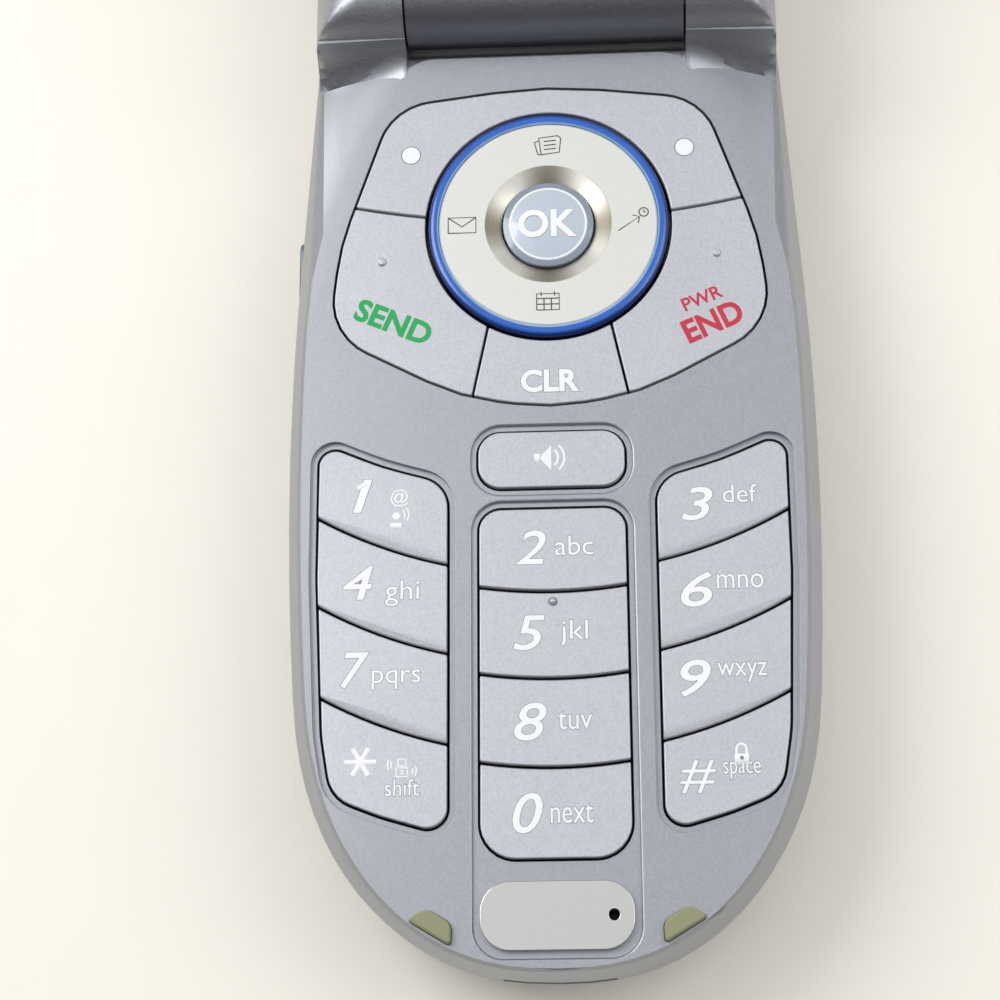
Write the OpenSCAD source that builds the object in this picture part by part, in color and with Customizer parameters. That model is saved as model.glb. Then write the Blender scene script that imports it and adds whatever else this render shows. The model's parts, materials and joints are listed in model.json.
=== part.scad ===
// Flip phone with a keypad half that lies on its back and a lid raised past it.
// X runs across the keys, Y from the rounded end to the hinge, Z up out of the keypad.
// The origin is the middle of the back face that the phone rests on.

/* [Body] */
// Greatest width, across the side rims
body_w = 46.9; // [44:0.1:50]
// Length from the rounded end to the hinge axis
body_len = 89.3; // [85:0.1:96]
// Height from the rest face to the keypad face
base_h = 13.7; // [13.2:0.1:16]
// Height of the joint line between the two base shells
part_h = 6.6; // [6.2:0.1:6.9]
// Radius of the slow curve along each side
side_curve_r = 290; // [200:5:400]
// How far the rounded end reaches along the body
end_reach = 24.3; // [20:0.1:28]
// Squareness of the rounded end, where 2 is an ellipse
end_power = 2.4; // [2:0.1:3]
// Drop from the keypad face to the widest line of the side
rim_drop = 3.5; // [2.5:0.1:4.5]
// Inset of the keypad face's edge from the widest line
rim_in = 1.3; // [0.8:0.1:2]
// Thickness of the shell walls
wall = 1.2; // [1:0.1:1.6]
// Thickness of the keypad face
face_wall = 1.5; // [1.2:0.1:1.8]
// Inset of the keypad face's edge at the rounded end
end_in = 0.4; // [0.2:0.05:0.8]
// Plan radius with which the keypad face turns in to the hinge
shoulder_r = 42; // [38:1:60]
// Distance from the hinge axis at which that turn begins
shoulder_reach = 30.5; // [26:0.5:34]
// Distance from the hinge axis at which the sides stop turning in
straight_reach = 8.6; // [7:0.1:10]

/* [Hinge] */
// Height of the hinge axis above the keypad face
hinge_up = 1.2; // [0.8:0.1:2]
// Radius of the barrel and of the knuckles
barrel_r = 4.6; // [4.2:0.1:5]
// Length of the lid's barrel between the knuckles
barrel_len = 25.3; // [23:0.1:28]
// Gap between barrel and knuckle
knuckle_gap = 0.2; // [0.15:0.05:0.4]
// Clearance of the trough round the barrel
trough_gap = 1; // [0.7:0.1:1.3]
// Radius of the blend from keypad face to knuckle at its inner end
blend_in_r = 2.8; // [2:0.1:3]
// Radius of that blend at the outer end
blend_out_r = 6; // [4:0.1:6.5]
// Reach of the base past the hinge axis
tail_reach = 2.3; // [1.8:0.1:2.8]
// Angle by which the lid is opened from closed
open_angle = 160; // [140:1:165]
// Radius of the hinge can inside the barrel
can_r = 3; // [2.8:0.1:3.2]
// Length of the hinge can
can_len = 14; // [12:0.5:16]
// Radius of the hollow bush
bush_r = 2.2; // [2:0.1:2.4]
// Length of the hollow bush
bush_len = 9; // [8:0.5:10]
// Radial clearance of a turning fit
run_fit = 0.05; // [0.02:0.01:0.08]
// Across-flats size of the hinge shaft's key
shaft_key = 4; // [3.5:0.1:4.4]

/* [Keys] */
// Gap round every key
key_gap = 0.22; // [0.18:0.01:0.3]
// Travel of a key
key_travel = 0.4; // [0.2:0.05:0.4]
// Radius of the arcs between the key rows
row_arc_r = 40.7; // [36:0.1:60]
// Half width of the middle key column
mid_half = 6.55; // [6:0.05:6.6]
// Inner edge of the side key columns from the middle
side_in = 8.9; // [8.8:0.05:9.5]
// Outer edge of the side key columns from the middle
side_out = 20.6; // [20:0.1:20.8]
// Share of the side columns' length that their first row takes
side_first_share = 0.242; // [0.22:0.001:0.26]
// Share of the middle column's length that its first row takes
mid_first_share = 0.249; // [0.23:0.001:0.27]
// Share of the middle column's length that each of the next two rows takes
mid_share = 0.248; // [0.23:0.001:0.26]
// Gap between the middle column and the nameplate
column_to_plate = 1.67; // [1.4:0.01:2]
// How much higher the side columns end than the middle one
side_low_up = 1.07; // [0.8:0.01:1.4]
// Distance from the hinge axis to the navigation ring's centre
nav_from_hinge = 22.55; // [22.3:0.05:23]
// Distance from the ring's centre down to the side columns' top arc
side_from_nav = 25.03; // [24.8:0.01:25.6]
// Distance from the ring's centre down to the middle column's top
mid_from_nav = 26.45; // [26.2:0.01:27]
// Distance from the ring's centre down to the speaker key's centre
speaker_from_nav = 22.2; // [22:0.05:22.4]
// Height of the speaker key
speaker_h = 5.5; // [5:0.1:5.7]
// Slope of each number key's top, in degrees
key_slope = 2.6; // [1:0.1:3]
// Depth of the wells round the key columns
well_depth = 0.45; // [0.2:0.05:0.6]
// Rim of each well round its keys
well_rim = 0.5; // [0.3:0.05:0.6]
// Depth of the well round the middle keys and the nameplate
mid_well_depth = 0.35; // [0.2:0.05:0.5]
// Radius of the posts under the keys
post_r = 1.2; // [1:0.1:1.4]

/* [Navigation] */
// Outer radius of the coloured ring
ring_r = 10.74; // [10.6:0.01:10.9]
// Gap between the ring and the keys round it
ring_gap = 0.38; // [0.36:0.01:0.45]
// Width of the coloured ring
ring_w = 0.84; // [0.8:0.01:1.2]
// Height of the ring above the keypad face
ring_up = 0.45; // [0.2:0.05:0.5]
// Outer radius of the conical dish round the middle button
dish_r = 5.7; // [5.4:0.05:6.2]
// Radius of the middle button
ok_r = 4.05; // [3.9:0.05:4.2]
// Gap between the middle button and the dish
ok_gap = 0.33; // [0.32:0.01:0.45]
// Radius of the arc between soft keys and call keys
soft_arc_r = 84; // [70:1:100]
// Radius of the arc under the key cluster
cluster_arc_r = 26; // [25:0.5:28]
// Distance from the ring's centre down to that arc
cluster_low = 17.6; // [17.4:0.05:17.7]
// Half width of the key cluster
cluster_half = 19.5; // [19:0.1:19.8]
// Distance from the ring's centre up to the cluster's end
cluster_up = 14.05; // [13.8:0.05:14.3]
// Half width of the clear key's wedge at its lower end
clear_half = 7.15; // [6.8:0.05:7.6]
// Slope of the dish round the middle button
dish_drop = 0.6; // [0.3:0.05:0.8]
// Crown of the middle button
ok_crown = 0.4; // [0.2:0.05:0.6]

/* [Lid] */
// Gap between the closed lid and the keypad face
lid_gap = 1; // [0.9:0.05:1.3]
// Thickness of the lid
lid_h = 8.8; // [8.6:0.1:10]
// Height of the lid's inner shell
lid_split = 3.5; // [3.3:0.1:3.8]
// Clearance of the lid's end from the hinge axis
lid_clear = 5.35; // [5.2:0.05:5.8]
// Half width of the main window
window_half = 16.5; // [15.5:0.1:17]
// Length of the main window
window_len = 47; // [44:0.5:48]
// Thickness of the windows
window_t = 1; // [0.7:0.1:1]
// Width of the outer window
outer_w = 27; // [24:0.5:28]
// Length of the outer window
outer_len = 20; // [18:0.5:22]
// Radius of the earpiece
ear_r = 5; // [4.5:0.1:5.4]
// Distance from the lid's rounded end to the earpiece's centre
ear_from_end = 9.5; // [9:0.1:10]

/* [Battery and electronics] */
// Width of the battery pack
pack_w = 34; // [32:0.5:35]
// Length of the battery pack
pack_len = 48; // [44:0.5:50]
// Thickness of the battery pack
pack_t = 5.4; // [5:0.05:5.5]
// Distance from the hinge axis to the battery pack
pack_from_hinge = 26.3; // [26:0.1:27]
// Clearance round the pack in its bay
pack_gap = 0.3; // [0.2:0.05:0.4]
// Thickness of the circuit boards
board_t = 0.8; // [0.6:0.1:1]
// Height of the main board's top face
board_top = 9.6; // [9.4:0.05:9.7]
// Height of a dome over the board
dome_h = 0.4; // [0.3:0.05:0.45]
// Thickness of the rubber key mat
mat_t = 0.5; // [0.4:0.05:0.55]
// Radius of the loudspeaker
speaker_r = 6.5; // [6:0.1:7]
// Length of the volume key
volume_len = 15; // [12:0.5:16]
// Height of the volume key
volume_h = 2.6; // [2.2:0.1:2.8]
// Distance from the hinge axis to the volume key's middle
volume_from_hinge = 29; // [27:0.5:31]
// Distance from the hinge axis to the port cover's and the loudspeaker's middle
port_from_hinge = 12.6; // [12.2:0.1:13]
// Width of the port cover
cover_w = 8; // [7:0.5:8.5]
// Height of the port cover
cover_h = 4.4; // [4:0.1:4.8]
// Radius of the screws' shafts
screw_r = 0.8; // [0.7:0.05:0.9]
// Radius of the screws' heads
screw_head_r = 1.4; // [1.2:0.05:1.5]
// Width of the nameplate
plate_w = 12.8; // [12:0.1:13]
// Height of the nameplate
plate_h = 5.7; // [5:0.1:6]
// Distance from the rounded end to the nameplate's centre
plate_from_end = 4.95; // [4.8:0.05:5.2]
// Height of the rubber bumpers above the keypad face
bumper_up = 0.7; // [0.4:0.05:0.7]

/* [Hidden] */
$fn = 64;

// Places along and up the body
hinge_y = body_len / 2;
end_y = -body_len / 2;
hinge_z = base_h + hinge_up;
wide_y = -0.5;
tail_y = hinge_y + tail_reach;
trough_r = barrel_r + trough_gap;
face_end_y = hinge_y - trough_r;
shoulder_y = hinge_y - shoulder_reach;
knuckle_in = barrel_len / 2 + knuckle_gap;
knuckle_out = side_x(hinge_y, 0);
widest_z = base_h - rim_drop;
face_low = base_h - face_wall;
edge_bevel = 0.3;
seam_in = 0.12;
back_wall = 1.3;
cavity_in = wall + 0.1;
upper_in = rim_in * 0.6 + wall;
upper_turn = 0.6;
slice_t = 0.01;
touch = 0.02;
big = 200;

// Small gaps that several pieces share
open_gap = 0.2;
inner_gap = 0.3;
screw_fit = 0.05;

// Key stack, from the board up
dome_top = board_top + dome_h;
dome_r = 1.9;
film_t = 0.12;
mat_low = dome_top + 0.25;
mat_top = mat_low + mat_t;
cap_low = mat_top + key_travel + 0.15;
flange_top = face_low - 0.15;
post_low = dome_top + key_travel + 0.05;
window_r = post_r + 0.35;
key_level = base_h - 0.25;
cluster_level = base_h + 0.05;
cap_above = 0.35;

// Places of the keys
nav_y = hinge_y - nav_from_hinge;
plate_y = end_y + plate_from_end;
mid_top = nav_y - mid_from_nav;
mid_low = plate_y + plate_h / 2 + column_to_plate;
mid_len = mid_top - mid_low;
mid_pitch = mid_len * mid_share;
mid_rows = [for (i = [0:2]) mid_top - mid_len * mid_first_share - i * mid_pitch];
side_top = nav_y - side_from_nav;
side_low = mid_low + side_low_up;
side_first = (side_top - side_low) * side_first_share;
side_pitch = (side_top - side_low - side_first) / 3;
side_rows = [for (i = [0:3]) side_top - side_first - i * side_pitch];
side_mid = (side_in + side_out) / 2;
side_mid_up = row_up(side_mid);
speaker_y = nav_y - speaker_from_nav;
soft_low = 0.35;
mid_rim = 0.4;
call_post = [15, -5.5];
soft_post = [13.2, 6.8];
clear_post_y = nav_y - 14.4;
pip_r = 0.35;
pip_up = 2.3;

// Navigation key's stack
nav_low = cap_low + 0.75;
nav_face = base_h + 0.35;
frame_top = nav_low - 0.35;
frame_low = post_low + inner_gap;
frame_hole_r = ok_r + 0.8;
nub_place = 7.6;
nub_r = 1;
ok_hole_r = ok_r + ok_gap;
ok_rim_z = base_h + 0.15;

// Nameplate, microphone and bumpers
plate_up = 0.25;
plate_foot = 1;
plate_margin = 0.6;
mic_x = 4.7;
mic_r = 2;
bumper_deep = 0.9;
bumper_gap = 0.06;

// Lid, drawn closed and then opened about the hinge
lid_low = base_h + lid_gap;
lid_top = lid_low + lid_h;
lid_part = lid_low + lid_split;
lid_end_y = hinge_y - lid_clear;
lid_floor = 1.3;
lid_roof = 1.5;
window_y = 5.5;
window_lip = 2.2;
outer_y = 4;
outer_lip = 2;
ear_y = end_y + ear_from_end;
ear_h = 2.2;
lid_board_low = lid_part + 0.35;
lid_board_side = 6.45;
lid_board_end = 11.15;
lid_inside = lid_low + 1.4;
neck_half = barrel_len / 2 - 0.05;

// Battery, latch and contacts
pack_top = hinge_y - pack_from_hinge;
pack_low = pack_top - pack_len;
bay_roof = pack_t + pack_gap;
bay_wall = 1.1;
latch_size = [10, 3, 1.6];
latch_low = 0.3;
latch_travel = 1.5;
latch_y = pack_top + latch_size[1] / 2 + 1.7;
contact_size = [8.8, 1.8, 2.5];
contact_low = 2.4;
contact_y = pack_top + 0.45;
antenna_w = 22;
antenna_t = 0.5;

// Screws, each place with the height of its boss
boss_r = screw_r + 1.1;
lid_boss_r = boss_r + 0.3;
head_gap = 0.2;
head_deep = 2.2;
head_t = 0.8;
lid_head_deep = 1.7;
plug_t = 0.85;
plug_r = screw_head_r + 0.3;
screw_top = 9.4;
screw_places = [[20, hinge_y - 17.2, widest_z + 0.4], [13.2, end_y + 7.9, face_low + touch]];
lid_screw_places = [[17, lid_end_y - 3.6], [12.6, end_y + 6.6]];

// Volume key, headset socket, charging slot, loudspeaker and motor
volume_y = hinge_y - volume_from_hinge;
volume_z = part_h + volume_h / 2 + 0.4;
volume_depth = 2.1;
volume_proud = 0.05;
switch_size = [1.6, 6, 0.55];
switch_x = -body_w / 2 + 3.7;
cover_y = hinge_y - port_from_hinge;
cover_z = part_h + 0.1;
cover_x = side_x(cover_y, 0) - 0.1;
cover_t = 0.9;
cover_pin_r = 0.45;
jack_r = 1.3;
jack_len = 8;
jack_nose = 1.5;
jack_wall = 0.8;
port_z = part_h + 1.2;
port_size = [9, 4.6, 1.1];
port_wall = 0.7;
motor_y = hinge_y - 9;
motor_x = -(side_x(motor_y, 0) - 4.2);
motor_z = 3.5;
motor_r = 2.1;
motor_len = 6;
weight_len = 2.3;
can_h = 1.5;

// Hinge parts
bore_deep = 4.6;
can_wall = 0.45;
can_out = barrel_len / 2 - 0.1;
can_in = can_out - can_len;
stem_r = 0.9;
collar_r = 1.9;
cam_low = can_out - 6.4;
cam_len = 2.6;
bush_wall = 0.6;
flex_w = 1.3;
flex_t = 0.2;
flex_roll_r = bush_r - 0.7;
flex_x = knuckle_in + bore_deep + 1.8;
flex_board_y = face_end_y - 3.5;
lid_flex_x = 8;
lid_flex_w = 2;
lid_flex_up = 1.2;

// Metals, plastics and rubbers as the photo shows them
silver = "#a9acb4";
dark_silver = "#83868e";
key_silver = "#c9cacf";
steel = "#c8c8c4";
board_green = "#2f6b4a";
rubber_black = "#26272a";
khaki = "#a5a37c";

// Half width of the body at a place along it, at an inset from the widest line
function side_x(y, inset) =
    body_w / 2 - inset - pow(min(y, hinge_y - straight_reach) - wide_y, 2) / (2 * side_curve_r);

// How far the row arcs have risen at a distance from the middle
function row_up(x) = x * x / (2 * row_arc_r);

// How far the shoulders have turned in at a place along the body
function turn_in(y) = y <= shoulder_y ? 0
    : shoulder_r - sqrt(pow(shoulder_r, 2) - pow(y - shoulder_y, 2));

// Right half of the body's outline, from the rounded end up to top_y
function half_outline(inset, top_y, corner, turn, end_inset) =
    let (
        start_y = end_y + end_reach,
        reach = end_reach - end_inset,
        last_y = top_y - corner,
        steps = 12
    )
    concat(
        [for (a = [0:5:85]) let (y = start_y - reach * pow(cos(a), 2 / end_power))
            [side_x(y, inset) * pow(sin(a), 2 / end_power), y]],
        [for (i = [0:steps]) let (y = start_y + (last_y - start_y) * i / steps)
            [side_x(y, inset) - turn * turn_in(y), y]],
        [for (a = [15:15:90])
            [side_x(last_y, inset) - turn * turn_in(last_y) - corner * (1 - cos(a)),
             last_y + corner * sin(a)]]
    );

// Whole outline, closed by mirroring the right half
function body_outline(inset, top_y, corner = 3, turn = 0, end_inset) =
    let (
        at_end = end_inset == undef ? inset : end_inset,
        right = half_outline(inset, top_y, corner, turn, at_end),
        n = len(right)
    )
    concat(right, [for (i = [n - 1:-1:1]) [-right[i][0], right[i][1]]]);

// Corner points [x, y, radius] turned into an outline with round corners
function unit(v) = v / norm(v);
function corner_points(a, b, c) =
    let (
        u = unit([a[0] - b[0], a[1] - b[1]]),
        v = unit([c[0] - b[0], c[1] - b[1]]),
        half = acos(max(-1, min(1, u * v))) / 2,
        reach = b[2] / tan(half),
        middle = [b[0], b[1]] + unit(u + v) * b[2] / sin(half),
        p = [b[0], b[1]] + u * reach - middle,
        q = [b[0], b[1]] + v * reach - middle,
        n = max(2, ceil((180 - 2 * half) / 12))
    )
    [for (i = [0:n]) let (t = i / n, w = unit(p * (1 - t) + q * t)) middle + w * b[2]];
function rounded(points) =
    let (n = len(points))
    [for (i = [0:n - 1])
        each corner_points(points[(i + n - 1) % n], points[i], points[(i + 1) % n])];

module plan(low, high) {
    translate([0, 0, low]) linear_extrude(height = high - low) children();
}

// Smooth shell through slices [height, inset, top_y, turn, inset at the rounded end]
module loft(slices) {
    hull()
        for (s = slices)
            translate([0, 0, s[0]]) linear_extrude(height = slice_t)
                polygon(body_outline(s[1], s[2], 3, s[3], s[4]));
}

// A profile drawn in Y and Z, run along X between two places
module along_x(from, to) {
    translate([from, 0, 0]) rotate([90, 0, 90]) linear_extrude(height = to - from) children();
}

module round_x(from, to, r) {
    translate([from, hinge_y, hinge_z]) rotate([0, 90, 0]) cylinder(r = r, h = to - from);
}

module both_sides() {
    children();
    mirror([1, 0, 0]) children();
}

module opened() {
    translate([0, hinge_y, hinge_z]) rotate([-open_angle, 0, 0])
        translate([0, -hinge_y, -hinge_z]) children();
}

module pill(w, h, corner) {
    polygon(rounded([
        [w / 2, h / 2, corner], [-w / 2, h / 2, corner],
        [-w / 2, -h / 2, corner], [w / 2, -h / 2, corner]]));
}

// Outlines of the keys, seen from above

module side_column() {
    polygon(rounded([
        [side_in, side_top + row_up(side_in), 3],
        [side_mid, side_top + side_mid_up, 25],
        [side_out, side_top + row_up(side_out), 1.6],
        [side_out, side_rows[0], 20],
        [side_out - 0.6, side_rows[2] + side_pitch / 4, 12],
        [side_out - 1.5, side_low + 0.56 * side_pitch, 3.4],
        [side_mid, side_low + side_mid_up, 18],
        [side_in, side_low + row_up(side_in), 1.9]]));
}

module mid_column() {
    polygon(rounded([
        [mid_half, mid_top, 2.1], [-mid_half, mid_top, 2.1],
        [-mid_half, mid_low, 3.2], [mid_half, mid_low, 3.2]]));
}

// Well that the middle column shares with the nameplate
module mid_well() {
    high = mid_top + mid_rim;
    low = plate_y - plate_h / 2 - plate_margin;
    translate([0, (high + low) / 2]) pill(2 * (mid_half + mid_rim), high - low, 2.5);
}

module speaker_outline() {
    translate([0, speaker_y]) pill(2 * mid_half + 0.1, speaker_h, 2.2);
}

module cluster_outline() {
    low = nav_y - cluster_low;
    arc_mid = 0.41 * cluster_half;
    right = [
        [0, low, 20],
        [arc_mid, low + pow(arc_mid, 2) / (2 * cluster_arc_r), 20],
        [1.017 * cluster_half, nav_y - 0.577 * cluster_low, 5.8],
        [0.969 * cluster_half, nav_y - 0.107 * cluster_up, 25],
        [0.728 * cluster_half, nav_y + 0.875 * cluster_up, 5.5],
        [0, nav_y + cluster_up, 40]];
    polygon(rounded(concat(right, [for (i = [4:-1:1]) [-right[i][0], right[i][1], right[i][2]]])));
}

module above_arc(y, r) {
    translate([0, y + r]) circle(r = r, $fn = 180);
}

// Part of a column between two row arcs, where undef leaves an end open
module row_of(high, low, shift = 0) {
    difference() {
        intersection() {
            children();
            if (low != undef) above_arc(low + key_gap / 2 + shift, row_arc_r);
        }
        if (high != undef) above_arc(high - key_gap / 2 + shift, row_arc_r);
    }
}

// Cap of a number key, from its outline, with a top that slopes down to the hinge
module sloped_cap(low_y) {
    intersection() {
        plan(cap_low, base_h + 1) children();
        translate([0, low_y, key_level + cap_above]) rotate([-key_slope, 0, 0])
            translate([0, 0, -big / 2]) cube(big, center = true);
    }
}

// Part of a key's foot that stays clear of the shell's wall
module in_walls() {
    intersection() {
        children();
        polygon(body_outline(upper_in + open_gap, face_end_y - wall, 2, upper_turn));
    }
}

module post(x, y) {
    translate([x, y, post_low]) cylinder(r = post_r, h = cap_low - post_low + touch);
}

module side_key(row) {
    high = row == 0 ? undef : side_rows[row - 1];
    low = row == 3 ? undef : side_rows[row];
    low_y = side_rows[row] + 1.2;
    color(key_silver) {
        sloped_cap(low_y) row_of(high, low) offset(delta = -key_gap) side_column();
        plan(cap_low, flange_top)
            row_of(high, low) in_walls() offset(delta = well_rim) side_column();
        post(side_mid, side_rows[row] + side_pitch / 2 + side_mid_up);
    }
}

module mid_key(row) {
    high = row == 0 ? undef : mid_rows[row - 1];
    low = row == 3 ? undef : mid_rows[row];
    low_y = row == 3 ? mid_low : mid_rows[row];
    color(key_silver) {
        sloped_cap(low_y) row_of(high, low) offset(delta = -key_gap) mid_column();
        plan(cap_low, flange_top) row_of(high, low) offset(delta = well_rim) mid_column();
        post(0, low_y + mid_pitch / 2);
    }
}

module key_speaker() {
    color(key_silver) {
        plan(cap_low, cluster_level) offset(delta = -key_gap) speaker_outline();
        plan(cap_low, flange_top)
            translate([0, speaker_y]) pill(2 * (mid_half + well_rim), speaker_h, 2.2);
        post(0, speaker_y);
    }
}

module nav_hole() { translate([0, nav_y]) circle(r = ring_r + ring_gap); }

// Wedge of the clear key, up into the ring and down past the cluster
module under_wedge(gap) {
    low = nav_y - cluster_low + 0.1;
    low_half = clear_half + gap;
    high_half = clear_half - 1.8 + gap;
    polygon([[-low_half, low - 3], [-low_half, low], [-high_half, low + 8.5],
        [high_half, low + 8.5], [low_half, low], [low_half, low - 3]]);
}

module cluster_part(grow) {
    difference() {
        offset(delta = grow) cluster_outline();
        nav_hole();
    }
}

module clear_outline(grow) {
    intersection() {
        cluster_part(grow);
        under_wedge(-key_gap / 2);
    }
}

module call_outline(grow) {
    difference() {
        cluster_part(grow);
        above_arc(nav_y + soft_low - key_gap / 2, soft_arc_r);
        under_wedge(key_gap / 2);
        translate([-big, -big / 2]) square(big);
    }
}

module soft_outline() {
    intersection() {
        cluster_part(-key_gap);
        above_arc(nav_y + soft_low + key_gap / 2, soft_arc_r);
    }
}

module key_clear() {
    color(key_silver) {
        plan(cap_low, cluster_level) clear_outline(-key_gap);
        plan(cap_low, flange_top) clear_outline(well_rim);
        post(0, clear_post_y);
    }
}

module call_key() {
    color(key_silver) {
        plan(cap_low, cluster_level) call_outline(-key_gap);
        plan(cap_low, flange_top) call_outline(well_rim);
        post(call_post[0], nav_y + call_post[1]);
        translate([call_post[0], nav_y + call_post[1] + pip_up, cluster_level - touch])
            cylinder(r = pip_r, h = 0.25, $fn = 24);
    }
}

module soft_keys() {
    color(key_silver) {
        plan(cap_low, cluster_level) soft_outline();
        both_sides() post(soft_post[0], nav_y + soft_post[1]);
    }
}

module key_ok() {
    ball_r = (ok_r * ok_r + ok_crown * ok_crown) / (2 * ok_crown);
    color("#b9c9dc") translate([0, nav_y, 0]) {
        translate([0, 0, cap_low]) cylinder(r = ok_r, h = ok_rim_z - cap_low);
        intersection() {
            translate([0, 0, ok_rim_z - touch]) cylinder(r = ok_r, h = 1);
            translate([0, 0, ok_rim_z + ok_crown - ball_r]) sphere(r = ball_r);
        }
    }
    color(key_silver) post(0, nav_y);
}

// Navigation key: a frame that tips up and down, and a disc and ring that tip left and right

module nav_frame() {
    plate_low = cap_low - 0.1;
    color(rubber_black) translate([0, nav_y, 0]) {
        difference() {
            translate([0, 0, plate_low]) cylinder(r = ring_r - ring_w, h = frame_top - plate_low);
            translate([0, 0, plate_low - 1]) cylinder(r = frame_hole_r, h = 3);
        }
        for (a = [0:90:270])
            rotate([0, 0, a]) translate([nub_place, 0, frame_low])
                cylinder(r = nub_r, h = cap_low - frame_low);
    }
}

module nav_disc() {
    disc_r = ring_r - ring_w - run_fit;
    chamfer = 0.15;
    color(steel) translate([0, nav_y, 0]) rotate_extrude()
        polygon([[ok_hole_r, nav_low], [disc_r, nav_low], [disc_r, nav_face - chamfer],
            [disc_r - chamfer, nav_face], [dish_r, nav_face], [ok_hole_r, nav_face - dish_drop]]);
}

module nav_ring() {
    inner = ring_r - ring_w;
    top = base_h + ring_up;
    chamfer = 0.5;
    color("#1746c8") translate([0, nav_y, 0]) rotate_extrude()
        polygon([[inner, nav_low], [ring_r, nav_low], [ring_r, top - chamfer],
            [ring_r - chamfer, top], [inner, top]]);
}

// Base shells

// Radius [0], place along the body [1] and height [2] of the blend's middle over a surface
function blend_at(surface, r) =
    [r, hinge_y - sqrt(pow(barrel_r + r, 2) - pow(surface + r - hinge_z, 2)), surface + r];

// Cone that hollows the blend from the keypad face and the shoulder up to the knuckle
module knuckle_blend(inner, outer) {
    run = [knuckle_out - knuckle_in, outer[1] - inner[1], outer[2] - inner[2]];
    long = norm(run);
    more = (outer[0] - inner[0]) / long;
    translate([knuckle_in, inner[1], inner[2]]) rotate([0, acos(run[2] / long), atan2(run[1], run[0])])
        translate([0, 0, -1]) cylinder(r1 = inner[0] - more, r2 = outer[0] + 3 * more, h = long + 4);
}

module knuckle_shape() {
    inner = blend_at(base_h - 0.05, blend_in_r);
    outer = blend_at(widest_z, blend_out_r);
    corner_x = knuckle_in - 0.4;
    corner_z = hinge_z - 1.7;
    power = 2.8;
    spread = knuckle_out - corner_x;
    rise = hinge_z + barrel_r + 0.05 - corner_z;
    foot_top = hinge_z + barrel_r / 4;
    intersection() {
        union() {
            round_x(knuckle_in, knuckle_out, barrel_r);
            difference() {
                intersection() {
                    along_x(knuckle_in, knuckle_out)
                        polygon([[tail_y, part_h], [outer[1], part_h], [outer[1], foot_top],
                            [hinge_y - 0.97 * barrel_r, foot_top], [hinge_y, hinge_z],
                            [tail_y, widest_z + 0.6]]);
                    plan(part_h, foot_top) intersection() {
                        polygon(body_outline(0, tail_y, 3, 0));
                        polygon([[knuckle_in, inner[1]], [knuckle_out, outer[1]],
                            [knuckle_out, tail_y], [knuckle_in, tail_y]]);
                    }
                }
                knuckle_blend(inner, outer);
            }
        }
        translate([0, hinge_y + 20, 0]) rotate([90, 0, 0]) linear_extrude(height = 60)
            polygon(concat(
                [[0, 0], [knuckle_out, 0]],
                [for (a = [0:6:90])
                    [corner_x + spread * pow(cos(a), 2 / power),
                     corner_z + rise * pow(sin(a), 2 / power)]],
                [[0, corner_z + rise]]));
    }
}

// Screw bosses, each up to its own height where no top is given
module screw_bosses(low, high) {
    both_sides()
        for (p = screw_places)
            translate([p[0], p[1], low])
                cylinder(r = boss_r, h = (high == undef ? p[2] : high) - low);
}

module screw_holes() {
    both_sides()
        for (p = screw_places)
            translate([p[0], p[1], 1.5]) cylinder(r = screw_r + screw_fit, h = screw_top - 1.1);
}

// Rubber bumper with its straight side outwards
module bumper_outline() {
    translate([10.55, end_y + 3.7]) rotate([0, 0, 31])
        polygon(rounded([[2.2, -0.15, 0.3], [1.25, 1.6, 1.1], [-1.25, 1.6, 1.1], [-2.2, -0.15, 0.3]]));
}

module volume_window() {
    long = volume_len + 2 * open_gap;
    high = volume_h + 2 * open_gap;
    translate([-body_w / 2 - 1, volume_y - long / 2, volume_z - high / 2]) cube([4, long, high]);
}

// Pocket of the port cover with the hole behind it for the socket's nose
module cover_pocket() {
    wide = cover_w + 2 * open_gap;
    high = cover_h + 2 * open_gap;
    translate([cover_x - cover_t - open_gap, cover_y - wide / 2, cover_z - high / 2])
        cube([10, wide, high]);
    translate([cover_x - 4, cover_y, cover_z]) rotate([0, 90, 0])
        cylinder(r = jack_r + jack_wall + inner_gap, h = 9);
}

module port_slot() {
    wide = port_size[0] + 2 * inner_gap;
    high = port_size[2] + 0.5;
    translate([-wide / 2, end_y - 2, port_z - high / 2]) cube([wide, 8, high]);
}

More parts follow.
